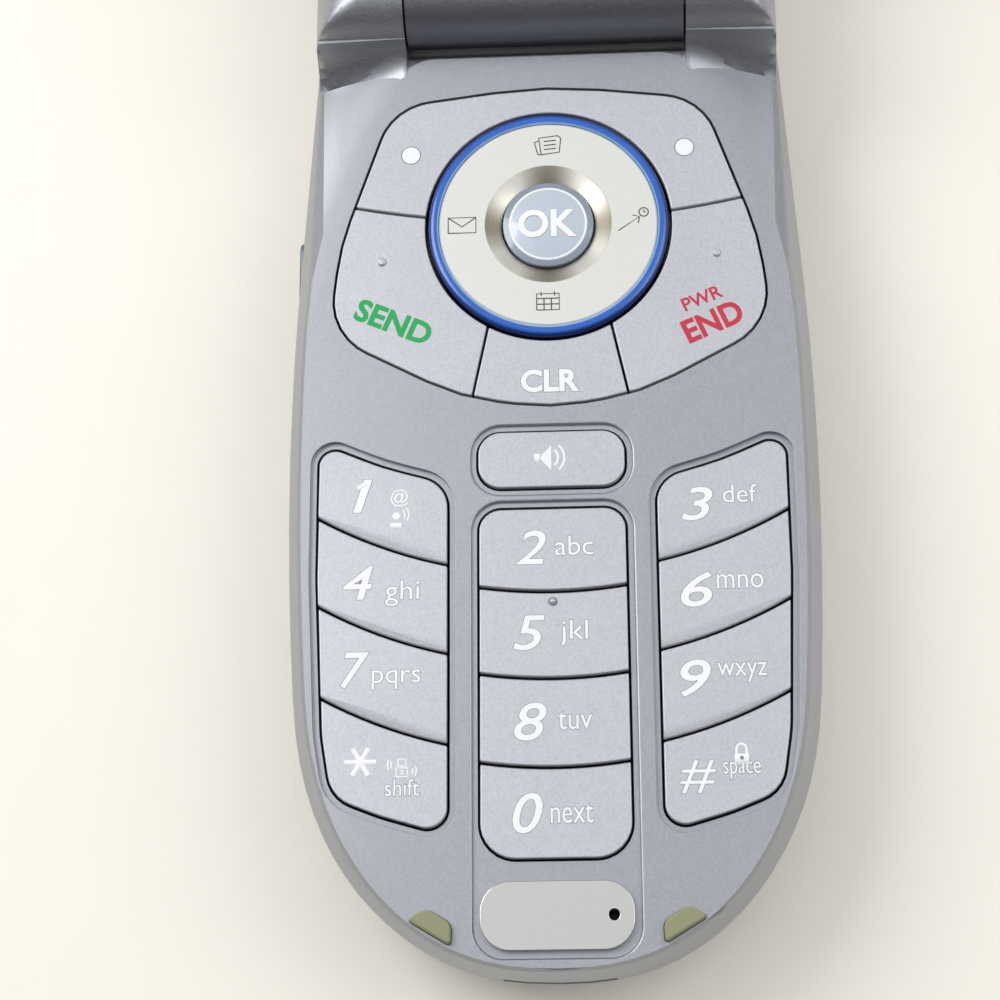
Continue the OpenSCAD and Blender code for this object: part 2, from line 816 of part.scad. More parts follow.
module front_housing() {
    color(silver) difference() {
        union() {
            difference() {
                union() {
                    loft([
                        [part_h, seam_in, tail_y, 0],
                        [widest_z, 0, tail_y, 0],
                        [base_h - edge_bevel, rim_in - 0.1, face_end_y, 0.96, end_in],
                        [base_h - slice_t, rim_in + 0.2, face_end_y, 1, end_in + 0.25]]);
                    both_sides() knuckle_shape();
                }
                plan(part_h - 1, widest_z)
                    polygon(body_outline(cavity_in, face_end_y - wall, 2, 0));
                plan(part_h - 1, face_low)
                    polygon(body_outline(upper_in, face_end_y - wall, 2, upper_turn));
            }
            intersection() {
                screw_bosses(part_h);
                plan(part_h, base_h) polygon(body_outline(1, tail_y, 3, 0));
            }
        }
        // Trough for the lid's barrel, with the bores for what turns in it
        round_x(-knuckle_in, knuckle_in, trough_r);
        round_x(-knuckle_in - bore_deep - inner_gap, 0, bush_r + run_fit / 2);
        round_x(-flex_x - open_gap, 0, flex_roll_r + open_gap);
        translate([0, hinge_y, hinge_z]) rotate([0, 90, 0])
            cylinder(d = (shaft_key + 2 * run_fit) / cos(30), h = knuckle_in + bore_deep, $fn = 6);
        translate([-flex_x - open_gap, hinge_y - 1.8, part_h - 1])
            cube([flex_w + 2 * open_gap, 2, hinge_z - part_h + 1]);
        translate([-flex_x - open_gap, hinge_y - 10, part_h - 1])
            cube([flex_w + 2 * open_gap, 10, widest_z - part_h + 1]);
        // Key openings and the wells round them
        plan(face_low - 1, base_h + 1) {
            cluster_outline();
            both_sides() side_column();
            mid_column();
            speaker_outline();
            translate([0, plate_y])
                pill(plate_w - 2 * (plate_foot - open_gap), plate_h - 2 * (plate_foot - open_gap), 1.6);
        }
        plan(base_h - well_depth, base_h + 1) both_sides() offset(delta = well_rim) side_column();
        plan(base_h - mid_well_depth, base_h + 1) {
            offset(delta = mid_rim) speaker_outline();
            mid_well();
        }
        plan(base_h - bumper_deep, base_h + 1) both_sides() bumper_outline();
        screw_holes();
        volume_window();
        cover_pocket();
        port_slot();
    }
}

module rear_housing() {
    color(dark_silver) difference() {
        union() {
            difference() {
                loft([
                    [0, 4.2, tail_y - 3.6, 0],
                    [0.8, 2.5, tail_y - 1.9, 0],
                    [2.6, 1, tail_y - 0.5, 0],
                    [part_h - slice_t, seam_in, tail_y, 0]]);
                difference() {
                    union() {
                        plan(back_wall, part_h + 1) polygon(body_outline(3.6, tail_y - 2.8, 3, 0));
                        plan(3, part_h + 1) polygon(body_outline(2.2, tail_y - 1.6, 3, 0));
                    }
                    plan(0, bay_roof + 0.8) bay_outline(bay_wall);
                }
            }
            intersection() {
                screw_bosses(1, part_h);
                plan(0.4, part_h) polygon(body_outline(3.1, tail_y - 2, 3, 0));
            }
        }
        plan(-1, bay_roof) bay_outline(pack_gap);
        screw_holes();
        both_sides()
            for (p = screw_places)
                translate([p[0], p[1], -1]) cylinder(r = screw_head_r + head_gap, h = head_deep + 1);
        // Sound slots, latch slot, contact window, and openings shared with the front shell
        for (i = [-2:2]) let (long = 1.4 * speaker_r - abs(i))
            translate([i * 2.2 - 0.5, cover_y - long / 2, -1]) cube([1, long, 4]);
        translate([-latch_size[0] / 2 - open_gap, latch_y - latch_size[1] / 2 - open_gap, -1])
            cube([latch_size[0] + 2 * open_gap, latch_size[1] + latch_travel + 2 * open_gap,
                latch_low + latch_size[2] + open_gap + 1]);
        translate([-contact_size[0] / 2 - open_gap, pack_top - 1, contact_low - open_gap])
            cube([contact_size[0] + 2 * open_gap, contact_y + contact_size[1] + open_gap - pack_top + 1,
                contact_size[2] + 2 * open_gap]);
        cover_pocket();
    }
}

module bay_outline(grow) {
    w = pack_w / 2 + grow;
    polygon(rounded([
        [w, pack_top + grow, 1.5], [-w, pack_top + grow, 1.5],
        [-w, pack_low + 4 - grow / 2, 7], [-6, pack_low - grow, 9],
        [6, pack_low - grow, 9], [w, pack_low + 4 - grow / 2, 7]]));
}

module battery_pack() {
    color(dark_silver) plan(0, pack_t) bay_outline(0);
}

module battery_latch() {
    rib = [0.8 * latch_size[0], 0.4, latch_low];
    color(rubber_black) {
        translate([-latch_size[0] / 2, latch_y - latch_size[1] / 2, latch_low]) cube(latch_size);
        for (i = [-1:1]) translate([-rib[0] / 2, latch_y + i * 0.9 - rib[1] / 2, 0.05]) cube(rib);
    }
}

module battery_contacts() {
    spring_w = 0.8;
    color("#3a3a3c") translate([-contact_size[0] / 2, contact_y, contact_low]) cube(contact_size);
    color("gold") for (i = [-1.5:1.5])
        translate([i * contact_size[0] / 4.4 - spring_w / 2, pack_top + 0.1, contact_low + spring_w])
            cube([spring_w, contact_y - pack_top - 0.05, spring_w]);
}

module bumpers() {
    color(khaki) both_sides()
        plan(base_h - bumper_deep, base_h + bumper_up) offset(delta = -bumper_gap) bumper_outline();
}

module nameplate() {
    color(steel) difference() {
        union() {
            plan(base_h - mid_well_depth, base_h + plate_up)
                translate([0, plate_y]) pill(plate_w, plate_h, 2.5);
            plan(face_low, base_h)
                translate([0, plate_y]) pill(plate_w - 2 * plate_foot, plate_h - 2 * plate_foot, 1.4);
        }
        translate([mic_x, plate_y, face_low - 1]) cylinder(r = 0.45, h = 4, $fn = 24);
    }
}

module housing_screws() {
    color("#5a5c60") both_sides()
        for (p = screw_places) translate([p[0], p[1], 0]) difference() {
            union() {
                translate([0, 0, head_deep - head_t]) cylinder(r = screw_head_r, h = head_t);
                translate([0, 0, head_deep - touch]) cylinder(r = screw_r, h = screw_top - head_deep);
            }
            translate([0, 0, 1.3]) cylinder(d = 1.1, h = 0.6, $fn = 6);
        }
}

// Board, mat and what sits on them

module board_outline(inset, turn) {
    difference() {
        polygon(body_outline(inset, face_end_y - wall - 0.4, 2, turn));
        both_sides() for (p = screw_places) translate([p[0], p[1]]) circle(r = boss_r + inner_gap);
    }
}

// Notch for the volume key, out to a distance past its switch
module volume_notch(reach) {
    translate([-body_w / 2 - 1, volume_y - 9]) square([switch_x + body_w / 2 + 1 + reach, 18]);
}

module main_board() {
    color(board_green) {
        plan(board_top - board_t, board_top) difference() {
            board_outline(cavity_in + inner_gap, 0);
            volume_notch(-inner_gap);
        }
    }
    color("#2a2a2c") translate([switch_x, volume_y - switch_size[1] / 2, board_top - 0.1])
        cube(switch_size);
}

module shield_cans() {
    low = board_top - board_t - can_h;
    wide = pack_w - 4;
    long = pack_len - 9;
    color(steel) translate([-wide / 2, pack_low + 5.5, low]) {
        cube([0.6 * wide, 0.56 * long, can_h]);
        translate([0.66 * wide, 0, 0]) cube([0.34 * wide, 0.36 * long, can_h]);
        translate([0, 0.62 * long, 0]) cube([wide, 0.33 * long, can_h]);
    }
}

// Where each key presses its dome
nav_nubs = [for (a = [0:90:270]) [nub_place * cos(a), nav_y + nub_place * sin(a)]];
side_posts = [for (r = [0:3], s = [-1, 1])
    [s * side_mid, side_rows[r] + side_pitch / 2 + side_mid_up]];
mid_posts = concat(
    [for (r = [0:2]) [0, mid_rows[r] + mid_pitch / 2]],
    [[0, mid_low + mid_pitch / 2], [0, speaker_y], [0, clear_post_y], [0, nav_y]]);
wide_posts = [for (s = [-1, 1], p = [call_post, soft_post]) [s * p[0], nav_y + p[1]]];
all_posts = concat(side_posts, mid_posts, wide_posts, nav_nubs);

module dome_sheet() {
    color("#d8d8d0") {
        plan(board_top, board_top + film_t) difference() {
            intersection() {
                board_outline(cavity_in + 1.2, 0);
                translate([-big / 2, end_y + 9]) square([big, nav_y + ring_r + 0.5 - end_y - 9]);
            }
            volume_notch(switch_size[0] + inner_gap);
        }
        for (p = all_posts) translate([p[0], p[1], board_top + film_t - touch])
            cylinder(r1 = dome_r, r2 = post_r, h = dome_h - film_t + touch, $fn = 32);
    }
}

module keymat() {
    color("#e6e6e2") difference() {
        union() {
            plan(mat_low, mat_top) board_outline(upper_in + inner_gap, upper_turn);
            plan(board_top + film_t, mat_low + touch) difference() {
                board_outline(upper_in + inner_gap, upper_turn);
                board_outline(upper_in + inner_gap + 1.1, upper_turn);
            }
        }
        for (p = all_posts) translate([p[0], p[1], mat_low - 1]) cylinder(r = window_r, h = 3, $fn = 32);
        translate([mic_x, plate_y, board_top]) cylinder(r = mic_r + inner_gap, h = 3);
        plan(board_top, board_top + 3) volume_notch(switch_size[0] + inner_gap);
        translate([-flex_x - 0.6, flex_board_y - 2.5, board_top]) cube([flex_w + 1.2, 8, 3]);
    }
}

module microphone() {
    color("#4a4a4c") translate([mic_x, plate_y, board_top]) difference() {
        cylinder(r = mic_r, h = face_low - board_top - 0.1);
        translate([0, 0, 1.4]) cylinder(r = 0.5, h = 3, $fn = 24);
    }
}

module loudspeaker() {
    color("#3c3c3e") translate([0, cover_y, back_wall + 0.05]) {
        difference() {
            cylinder(r = speaker_r, h = 3);
            translate([0, 0, -1]) cylinder(r = speaker_r - 1.2, h = 1.5);
        }
        translate([0, 0, 2.9]) cylinder(r = speaker_r - 2, h = 0.8);
    }
}

module vibration_motor() {
    color(steel) translate([motor_x, motor_y, motor_z]) rotate([0, 90, 0]) {
        cylinder(r = motor_r, h = motor_len);
        translate([0, 0, motor_len - touch]) cylinder(r = 0.5, h = 0.8);
        difference() {
            translate([0, 0, motor_len + 0.7]) cylinder(r = motor_r - 0.2, h = weight_len);
            translate([0.4, -3, motor_len]) cube([3, 6, 4]);
        }
    }
}

module antenna() {
    color("#b87838") {
        low = back_wall + 0.05;
        translate([-antenna_w / 2, tail_y - 3.6, low]) cube([antenna_w, antenna_t, 5]);
        translate([-antenna_w / 2, tail_y - 6.1, low]) cube([antenna_w, 2.6, antenna_t]);
        for (x = [-9, -5]) translate([x, tail_y - 8.7, low]) cube([1, 2.7, antenna_t]);
    }
}

module charge_connector() {
    body = [port_size[0] + 2 * port_wall, port_size[1], port_size[2] + 1];
    color("#9a9a9c") translate([-body[0] / 2, end_y + 2.5, board_top - board_t - body[2]]) difference() {
        cube(body);
        translate([port_wall, -1, 0.5]) cube(port_size);
    }
}

module headset_jack() {
    start = cover_x - cover_t - 0.35 - jack_len;
    outer_r = jack_r + jack_wall;
    color("#2e2e30") difference() {
        union() {
            translate([start, cover_y - outer_r, cover_z - outer_r])
                cube([jack_len - jack_nose + 0.1, 2 * outer_r, board_top - board_t - cover_z + outer_r]);
            translate([start + jack_len - jack_nose, cover_y, cover_z]) rotate([0, 90, 0])
                cylinder(r = outer_r, h = jack_nose);
        }
        translate([start + 0.6, cover_y, cover_z]) rotate([0, 90, 0]) cylinder(r = jack_r, h = jack_len);
    }
}

module volume_key() {
    outer = -side_x(volume_y, 0) - volume_proud;
    tongue = [0.5, 0.53 * volume_len, 1.6];
    color(dark_silver) {
        translate([outer, volume_y, volume_z]) rotate([90, 0, 90])
            linear_extrude(height = volume_depth) pill(volume_len, volume_h, 1.25);
        translate([outer + volume_depth - touch, volume_y - tongue[1] / 2, volume_z - tongue[2] / 2])
            cube(tongue);
    }
}

module port_cover() {
    pin_z = cover_z + cover_h / 2 - cover_pin_r;
    color(rubber_black) {
        translate([cover_x - cover_t, cover_y - cover_w / 2, cover_z - cover_h / 2])
            cube([cover_t, cover_w, cover_h - cover_pin_r]);
        translate([cover_x - cover_t + cover_pin_r, cover_y + cover_w / 2, pin_z])
            rotate([90, 0, 0]) cylinder(r = cover_pin_r, h = cover_w, $fn = 32);
    }
}

// Hinge parts, on the hinge axis

module hinge_shaft() {
    key_x = can_out + 0.15;
    color(steel) {
        translate([key_x, hinge_y, hinge_z]) rotate([0, 90, 0])
            cylinder(d = shaft_key / cos(30), h = knuckle_in + bore_deep - 0.2 - key_x, $fn = 6);
        round_x(can_out - 3.2, can_out + 0.2, collar_r);
        round_x(can_in + 1, can_out - 3.1, stem_r);
    }
}

module hinge_can() {
    color("#8f9094") opened() difference() {
        round_x(can_in, can_out, can_r);
        round_x(can_in + 0.8, can_out - 0.4, can_r - can_wall);
        round_x(can_out - 1, can_out + 1, collar_r + run_fit);
    }
}

// Cam with a ridge across its face
module hinge_cam() {
    ridge = [0.4, 2 * collar_r, 0.8];
    color("#d8d4c8") opened() difference() {
        union() {
            round_x(cam_low, cam_low + cam_len, can_r - can_wall - run_fit);
            translate([cam_low + cam_len - 0.1, hinge_y - ridge[1] / 2, hinge_z - ridge[2] / 2])
                cube(ridge);
        }
        round_x(cam_low - 1, can_out, stem_r + run_fit);
    }
}

// Round wire swept along a helix, from its ring of points at each step
module hinge_spring() {
    wire_r = 0.3;
    coil_r = can_r - can_wall - wire_r - 0.1;
    length = cam_low - can_in - 1.5;
    turns = 6;
    steps = 16 * turns;
    sides = 8;
    rings = [for (i = [0:steps], j = [0:sides - 1])
        let (a = 360 * turns * i / steps, b = 360 * j / sides, r = coil_r + wire_r * cos(b))
        [r * cos(a), r * sin(a), length * i / steps + wire_r * sin(b)]];
    faces = concat(
        [for (i = [0:steps - 1], j = [0:sides - 1]) let (k = (j + 1) % sides)
            [i * sides + j, i * sides + k, (i + 1) * sides + k, (i + 1) * sides + j]],
        [[for (j = [sides - 1:-1:0]) j], [for (j = [0:sides - 1]) steps * sides + j]]);
    color(steel) opened() translate([can_in + 1.15, hinge_y, hinge_z]) rotate([0, 90, 0])
        polyhedron(points = rings, faces = [for (f = faces) [for (i = [len(f) - 1:-1:0]) f[i]]]);
}

module hinge_bush() {
    color("#e8e4d8") difference() {
        round_x(-knuckle_in - bore_deep, bush_len - knuckle_in - bore_deep, bush_r);
        round_x(-knuckle_in - bore_deep - 1, 0, bush_r - bush_wall);
    }
}

// Printed cable: flat on the board, up into the hollow bush as a roll, and up into the lid
module hinge_flex() {
    low = board_top + touch;
    lid_z = hinge_z + lid_flex_up;
    color("#c77a2c") {
        difference() {
            round_x(-flex_x, -6.2, flex_roll_r);
            round_x(-flex_x - 1, -5, flex_roll_r - 0.25);
        }
        translate([-flex_x, hinge_y - 1.3, low]) cube([flex_w, flex_t, hinge_z - board_top]);
        translate([-flex_x, flex_board_y, low]) cube([flex_w, hinge_y - 1.1 - flex_board_y, flex_t]);
        opened() translate([-lid_flex_x, lid_end_y - 3, lid_z]) {
            cube([lid_flex_w, lid_clear + 2.6, flex_t]);
            cube([lid_flex_w, flex_t, lid_board_low - lid_z]);
        }
    }
}

// Lid, drawn closed over the keypad

module lid_screw_shape(low, high, r) {
    both_sides() for (p = lid_screw_places)
        translate([p[0], p[1], low]) cylinder(r = r, h = high - low);
}

module lid_neck(high) {
    along_x(-neck_half, neck_half)
        polygon([[lid_end_y - 4, lid_low], [hinge_y, lid_low], [hinge_y, high], [lid_end_y - 4, high]]);
}

module window_outline(grow) {
    translate([0, window_y]) pill(2 * (window_half + grow), window_len + 2 * grow, 4 + grow);
}

module outer_outline(grow) {
    translate([0, outer_y]) pill(outer_w + 2 * grow, outer_len + 2 * grow, 5 + grow);
}

module lid_inner() {
    color(silver) opened() difference() {
        union() {
            difference() {
                loft([
                    [lid_low, rim_in + 0.3, lid_end_y - 0.4, 0],
                    [lid_low + edge_bevel, rim_in, lid_end_y - 0.1, 0],
                    [lid_part - slice_t, 0, lid_end_y, 0]]);
                plan(lid_low + lid_floor, lid_part + 1)
                    polygon(body_outline(cavity_in, lid_end_y - wall, 2, 0));
            }
            round_x(-barrel_len / 2, barrel_len / 2, barrel_r);
            intersection() {
                lid_neck(lid_part);
                plan(lid_low, lid_part) translate([0, hinge_y - 5]) square([big, 12.6], center = true);
            }
            lid_screw_shape(lid_low, lid_part, lid_boss_r);
        }
        round_x(can_in - 0.1, barrel_len, can_r + run_fit / 2);
        round_x(-barrel_len, -barrel_len / 2 + 6, bush_r + run_fit);
        round_x(-barrel_len / 2 + 4, can_in - 1.2, 1.7);
        translate([-lid_flex_x - 0.4, lid_end_y - 3.4, hinge_z + lid_flex_up - 0.3]) {
            cube([lid_flex_w + 0.8, 8, flex_t + 0.6]);
            cube([lid_flex_w + 0.8, 1, lid_h]);
        }
        plan(lid_low - 1, lid_low + window_t + 0.05) window_outline(0.1);
        plan(lid_low - 1, lid_low + 2) window_outline(-window_lip);
        for (i = [-1:1]) translate([i * 2.6, ear_y, lid_low - 1])
            linear_extrude(height = 4) pill(1.1, 4.2 - 1.2 * abs(i), 0.5);
        lid_screw_shape(lid_low - 1, lid_low + lid_head_deep, plug_r + 0.05);
        lid_screw_shape(lid_low, lid_part + 1, screw_r + screw_fit);
    }
}

module lid_outer() {
    color(silver) opened() difference() {
        union() {
            difference() {
                loft([
                    [lid_part, 0, lid_end_y, 0],
                    [lid_part + 2.4, 0.7, lid_end_y - 0.5, 0],
                    [lid_top - 1, 2.2, lid_end_y - 2.6, 0],
                    [lid_top - slice_t, 4.4, lid_end_y - 5.6, 0]]);
                plan(lid_part - 1, lid_top - lid_roof)
                    polygon(body_outline(cavity_in + 2.6, lid_end_y - 4.6, 2, 0));
                plan(lid_part - 1, lid_part + 2)
                    polygon(body_outline(cavity_in, lid_end_y - wall, 2, 0));
            }
            difference() {
                along_x(-neck_half, neck_half)
                    polygon([[lid_end_y - 2.5, lid_part], [hinge_y - 1.6, lid_part],
                        [hinge_y - 1.2, hinge_z + barrel_r], [lid_end_y - 2.5, lid_top - 1.9]]);
                round_x(-big / 2, big / 2, barrel_r + touch);
            }
            intersection() {
                lid_screw_shape(lid_part, lid_top - lid_roof - 0.1, lid_boss_r);
                plan(lid_part, lid_top) polygon(body_outline(1.5, lid_end_y - 1, 2, 0));
            }
        }
        plan(lid_top - window_t - 0.05, lid_top + 1) outer_outline(0.1);
        plan(lid_part, lid_top + 1) outer_outline(-outer_lip);
        lid_screw_shape(lid_part - 1, lid_part + 3, screw_r + screw_fit);
    }
}

module main_window() {
    color("#1c1f26") opened() plan(lid_low + 0.02, lid_low + window_t) window_outline(0);
}

module main_display() {
    half = window_half - 1.3;
    long = window_len - 6;
    color("#30343c") opened()
        translate([-half, window_y - long / 2, lid_inside])
            cube([2 * half, long, lid_board_low - lid_inside]);
}

module outer_window() {
    color("#1c1f26") opened() plan(lid_top - window_t, lid_top) outer_outline(0);
}

module outer_display() {
    low = lid_board_low + board_t;
    wide = outer_w - 6.4;
    long = outer_len - 5.6;
    color("#30343c") opened()
        translate([-wide / 2, outer_y - long / 2, low])
            cube([wide, long, lid_top - window_t - inner_gap - low]);
}

module earpiece() {
    color("#3c3c3e") opened() translate([0, ear_y, lid_inside]) {
        difference() {
            cylinder(r = ear_r, h = ear_h);
            translate([0, 0, -1]) cylinder(r = ear_r - 1, h = 1.4);
        }
    }
}

module lid_board() {
    color(board_green) opened() plan(lid_board_low, lid_board_low + board_t) difference() {
        low = end_y + lid_board_end;
        high = lid_end_y - lid_board_end + 4;
        translate([0, (low + high) / 2]) pill(body_w - 2 * lid_board_side, high - low, 5);
        translate([0, ear_y]) circle(r = ear_r + 0.5);
        both_sides() for (p = lid_screw_places) translate(p) circle(r = lid_boss_r + inner_gap);
    }
}

module closing_magnet() {
    color("#6e7074") opened()
        translate([ear_r + 5.4, ear_y + 1.2, lid_low + lid_floor + 0.05]) cube([3.4, 6, 1.6]);
}

module lid_screws() {
    color("#5a5c60") opened() {
        lid_screw_shape(lid_low + lid_head_deep - head_t, lid_low + lid_head_deep, screw_head_r);
        lid_screw_shape(lid_low + lid_head_deep - touch, lid_part + 2.6, screw_r);
    }
}

module screw_plugs() {
    color(rubber_black) opened() lid_screw_shape(lid_low + 0.05, lid_low + plug_t, plug_r);
}

front_housing();
rear_housing();
bumpers();
nameplate();
housing_screws();
main_board();
shield_cans();
dome_sheet();
keymat();
microphone();
loudspeaker();
vibration_motor();
antenna();
charge_connector();
headset_jack();
battery_contacts();
battery_pack();
battery_latch();
volume_key();
port_cover();
mirror([1, 0, 0]) side_key(0);  // key_1
mid_key(0);  // key_2
side_key(0);  // key_3
mirror([1, 0, 0]) side_key(1);  // key_4
mid_key(1);  // key_5
side_key(1);  // key_6
mirror([1, 0, 0]) side_key(2);  // key_7
mid_key(2);  // key_8
side_key(2);  // key_9
mirror([1, 0, 0]) side_key(3);  // key_star
mid_key(3);  // key_0
side_key(3);  // key_hash
key_speaker();
key_clear();
mirror([1, 0, 0]) call_key();  // key_send
call_key();  // key_end
soft_keys();
key_ok();
nav_frame();
nav_disc();
nav_ring();
hinge_shaft();
hinge_bush();
hinge_flex();
hinge_can();
hinge_cam();
hinge_spring();
lid_inner();
lid_outer();
main_window();
main_display();
outer_window();
outer_display();
earpiece();
lid_board();
closing_magnet();
lid_screws();
screw_plugs();
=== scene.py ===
"""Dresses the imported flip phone: shells, keys, print, lid and hinge, with the light and camera."""

from __future__ import annotations

import json
import logging
import math
from collections.abc import Callable
from dataclasses import dataclass, field
from enum import Enum

import bmesh
import bpy
from mathutils import Matrix, Vector
from mathutils.bvhtree import BVHTree

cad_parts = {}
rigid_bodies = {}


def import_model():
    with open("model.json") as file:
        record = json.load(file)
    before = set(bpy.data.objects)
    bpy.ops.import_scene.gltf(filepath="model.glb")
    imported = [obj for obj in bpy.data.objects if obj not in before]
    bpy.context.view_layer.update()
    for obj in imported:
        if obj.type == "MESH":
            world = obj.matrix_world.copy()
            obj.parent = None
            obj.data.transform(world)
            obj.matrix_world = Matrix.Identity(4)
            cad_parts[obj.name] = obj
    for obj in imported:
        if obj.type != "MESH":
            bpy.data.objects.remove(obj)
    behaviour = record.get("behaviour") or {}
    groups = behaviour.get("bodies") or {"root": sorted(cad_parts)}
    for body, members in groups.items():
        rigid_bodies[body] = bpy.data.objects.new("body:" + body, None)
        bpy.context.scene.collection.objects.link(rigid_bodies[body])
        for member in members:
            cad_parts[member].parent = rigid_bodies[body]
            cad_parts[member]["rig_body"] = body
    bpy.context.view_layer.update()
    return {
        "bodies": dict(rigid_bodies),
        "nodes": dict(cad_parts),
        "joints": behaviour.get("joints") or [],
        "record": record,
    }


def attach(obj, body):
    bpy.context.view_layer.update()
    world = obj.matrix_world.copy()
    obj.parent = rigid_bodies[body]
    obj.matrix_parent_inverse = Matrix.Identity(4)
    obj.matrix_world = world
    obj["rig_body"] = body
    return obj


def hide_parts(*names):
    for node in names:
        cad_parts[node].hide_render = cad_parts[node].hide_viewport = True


LOG = logging.getLogger("flip_phone")
MM = 0.001
Point = tuple[float, float]
Triple = tuple[float, float, float]
Box = tuple[float, float, float, float]
EdgeTest = Callable[[bmesh.types.BMEdge], bool]
FaceTest = Callable[[bpy.types.MeshPolygon], bool]

# Places that the print and the new pieces share with the solids, in millimetres
KEYPAD_Z = 13.7
NAV_Y = 22.1
# Below this height a key's sides are black, painted shade in the gaps between the keys
KEY_GAP_SHADE_Z = 13.1
KNOB_FOOT_Z = 12.05


class Shade(Enum):
    """Colours as they look, in sRGB hex."""

    HOUSING = "#adafb4"
    HOUSING_DARK = "#7f828a"
    KEYCAP = "#cbccd1"
    # The lid's silver is darker than the housing's as painted shade on the hinge barrel
    LID_WITH_PAINTED_SHADE = "#8e8f97"
    RING = "#1d62c6"
    # Painted shade at the ring's outer edge and a painted highlight on its inner lip
    RING_PAINTED_SHADE = "#06154f"
    RING_PAINTED_HIGHLIGHT = "#9cc6f0"
    PLATE = "#e6e6df"
    DISH = "#dedbd0"
    # The darker fans of the dish's painted reflection
    DISH_PAINTED_SHADE = "#8f897a"
    DOME = "#c6d2dd"
    # Painted shade on the middle button's outer rim
    DOME_PAINTED_SHADE = "#8c98a5"
    SATIN = "#cfcfcc"
    INK_WHITE = "#ffffff"
    INK_GREY = "#8e9096"
    INK_GREEN = "#0fae54"
    INK_RED = "#cf2f45"
    ENGRAVING = "#55524a"
    KHAKI = "#9a9b78"
    BLACK = "#141518"
    STEEL = "#b9b9b6"
    CHROME = "#d6d6d4"
    BOARD = "#1f5a3c"
    FILM = "#cfcfc6"
    SILICONE = "#dcdcd6"
    COPPER = "#c07a3a"
    WINDOW = "#0b0d12"
    ACETAL = "#e2ddcb"
    FLOOR = "#f6f1e6"


def linear(shade: Shade) -> tuple[float, float, float, float]:
    """Turns a named colour into the linear values that a shader takes.

    Args:
        shade: The named colour.

    Returns:
        Red, green, blue and alpha.
    """
    text = shade.value.lstrip("#")
    channels = [int(text[i : i + 2], 16) / 255 for i in (0, 2, 4)]
    red, green, blue = (
        c / 12.92 if c <= 0.04045 else ((c + 0.055) / 1.055) ** 2.4 for c in channels
    )
    return (red, green, blue, 1.0)


def per_mm(size: float) -> float:
    """Texture scale whose features are this many millimetres across."""
    return 1000.0 / size


def add_node(
    tree: bpy.types.NodeTree, kind: str, inputs: dict | None = None, **settings: object
) -> bpy.types.Node:
    """Adds one shader node with its settings, values and links.

    Args:
        tree: The material's node tree.
        kind: The node's type.
        inputs: Values, or sockets to link from, by input name or number.
        **settings: The node's own properties.

    Returns:
        The new node.
    """
    node = tree.nodes.new(kind)
    for name, value in settings.items():
        setattr(node, name, value)
    for name, value in (inputs or {}).items():
        if isinstance(value, bpy.types.NodeSocket):
            tree.links.new(value, node.inputs[name])
        else:
            node.inputs[name].default_value = value
    return node


def map_range(
    tree: bpy.types.NodeTree,
    value: bpy.types.NodeSocket,
    low: float,
    high: float,
    start: float = 0.0,
    end: float = 1.0,
) -> bpy.types.NodeSocket:
    """Maps a value from start..end onto low..high.

    Args:
        tree: The node tree.
        value: The value's socket.
        low: The result at the start.
        high: The result at the end.
        start: The value's lower end.
        end: The value's upper end.

    Returns:
        The mapped value's socket.
    """
    inputs = {"Value": value, "From Min": start, "From Max": end, "To Min": low, "To Max": high}
    return add_node(tree, "ShaderNodeMapRange", inputs).outputs["Result"]


def maths(tree: bpy.types.NodeTree, operation: str, *values: object) -> bpy.types.NodeSocket:
    """The result of a math node on values or sockets."""
    node = add_node(tree, "ShaderNodeMath", dict(enumerate(values)), operation=operation)
    return node.outputs["Value"]


def put(name: str, data: bpy.types.ID) -> bpy.types.Object:
    """Adds an object with this data to the scene."""
    thing = bpy.data.objects.new(name, data)
    bpy.context.scene.collection.objects.link(thing)
    return thing


def as_mesh(name: str, work: bmesh.types.BMesh) -> bpy.types.Mesh:
    """Turns a bmesh into a named mesh and frees it.

    Args:
        name: The mesh's name.
        work: The bmesh, which is freed.

    Returns:
        The mesh.
    """
    mesh = bpy.data.meshes.new(name)
    work.to_mesh(mesh)
    work.free()
    return mesh


def mesh_of(name: str, curve: bpy.types.Curve) -> bpy.types.Mesh:
    """Turns a curve or text into a named mesh.

    Args:
        name: The mesh's name.
        curve: The curve or text.

    Returns:
        The mesh.
    """
    maker = put(name + "_maker", curve)
    bpy.context.view_layer.update()
    mesh = bpy.data.meshes.new_from_object(maker)
    bpy.data.objects.remove(maker)
    mesh.name = name
    return mesh


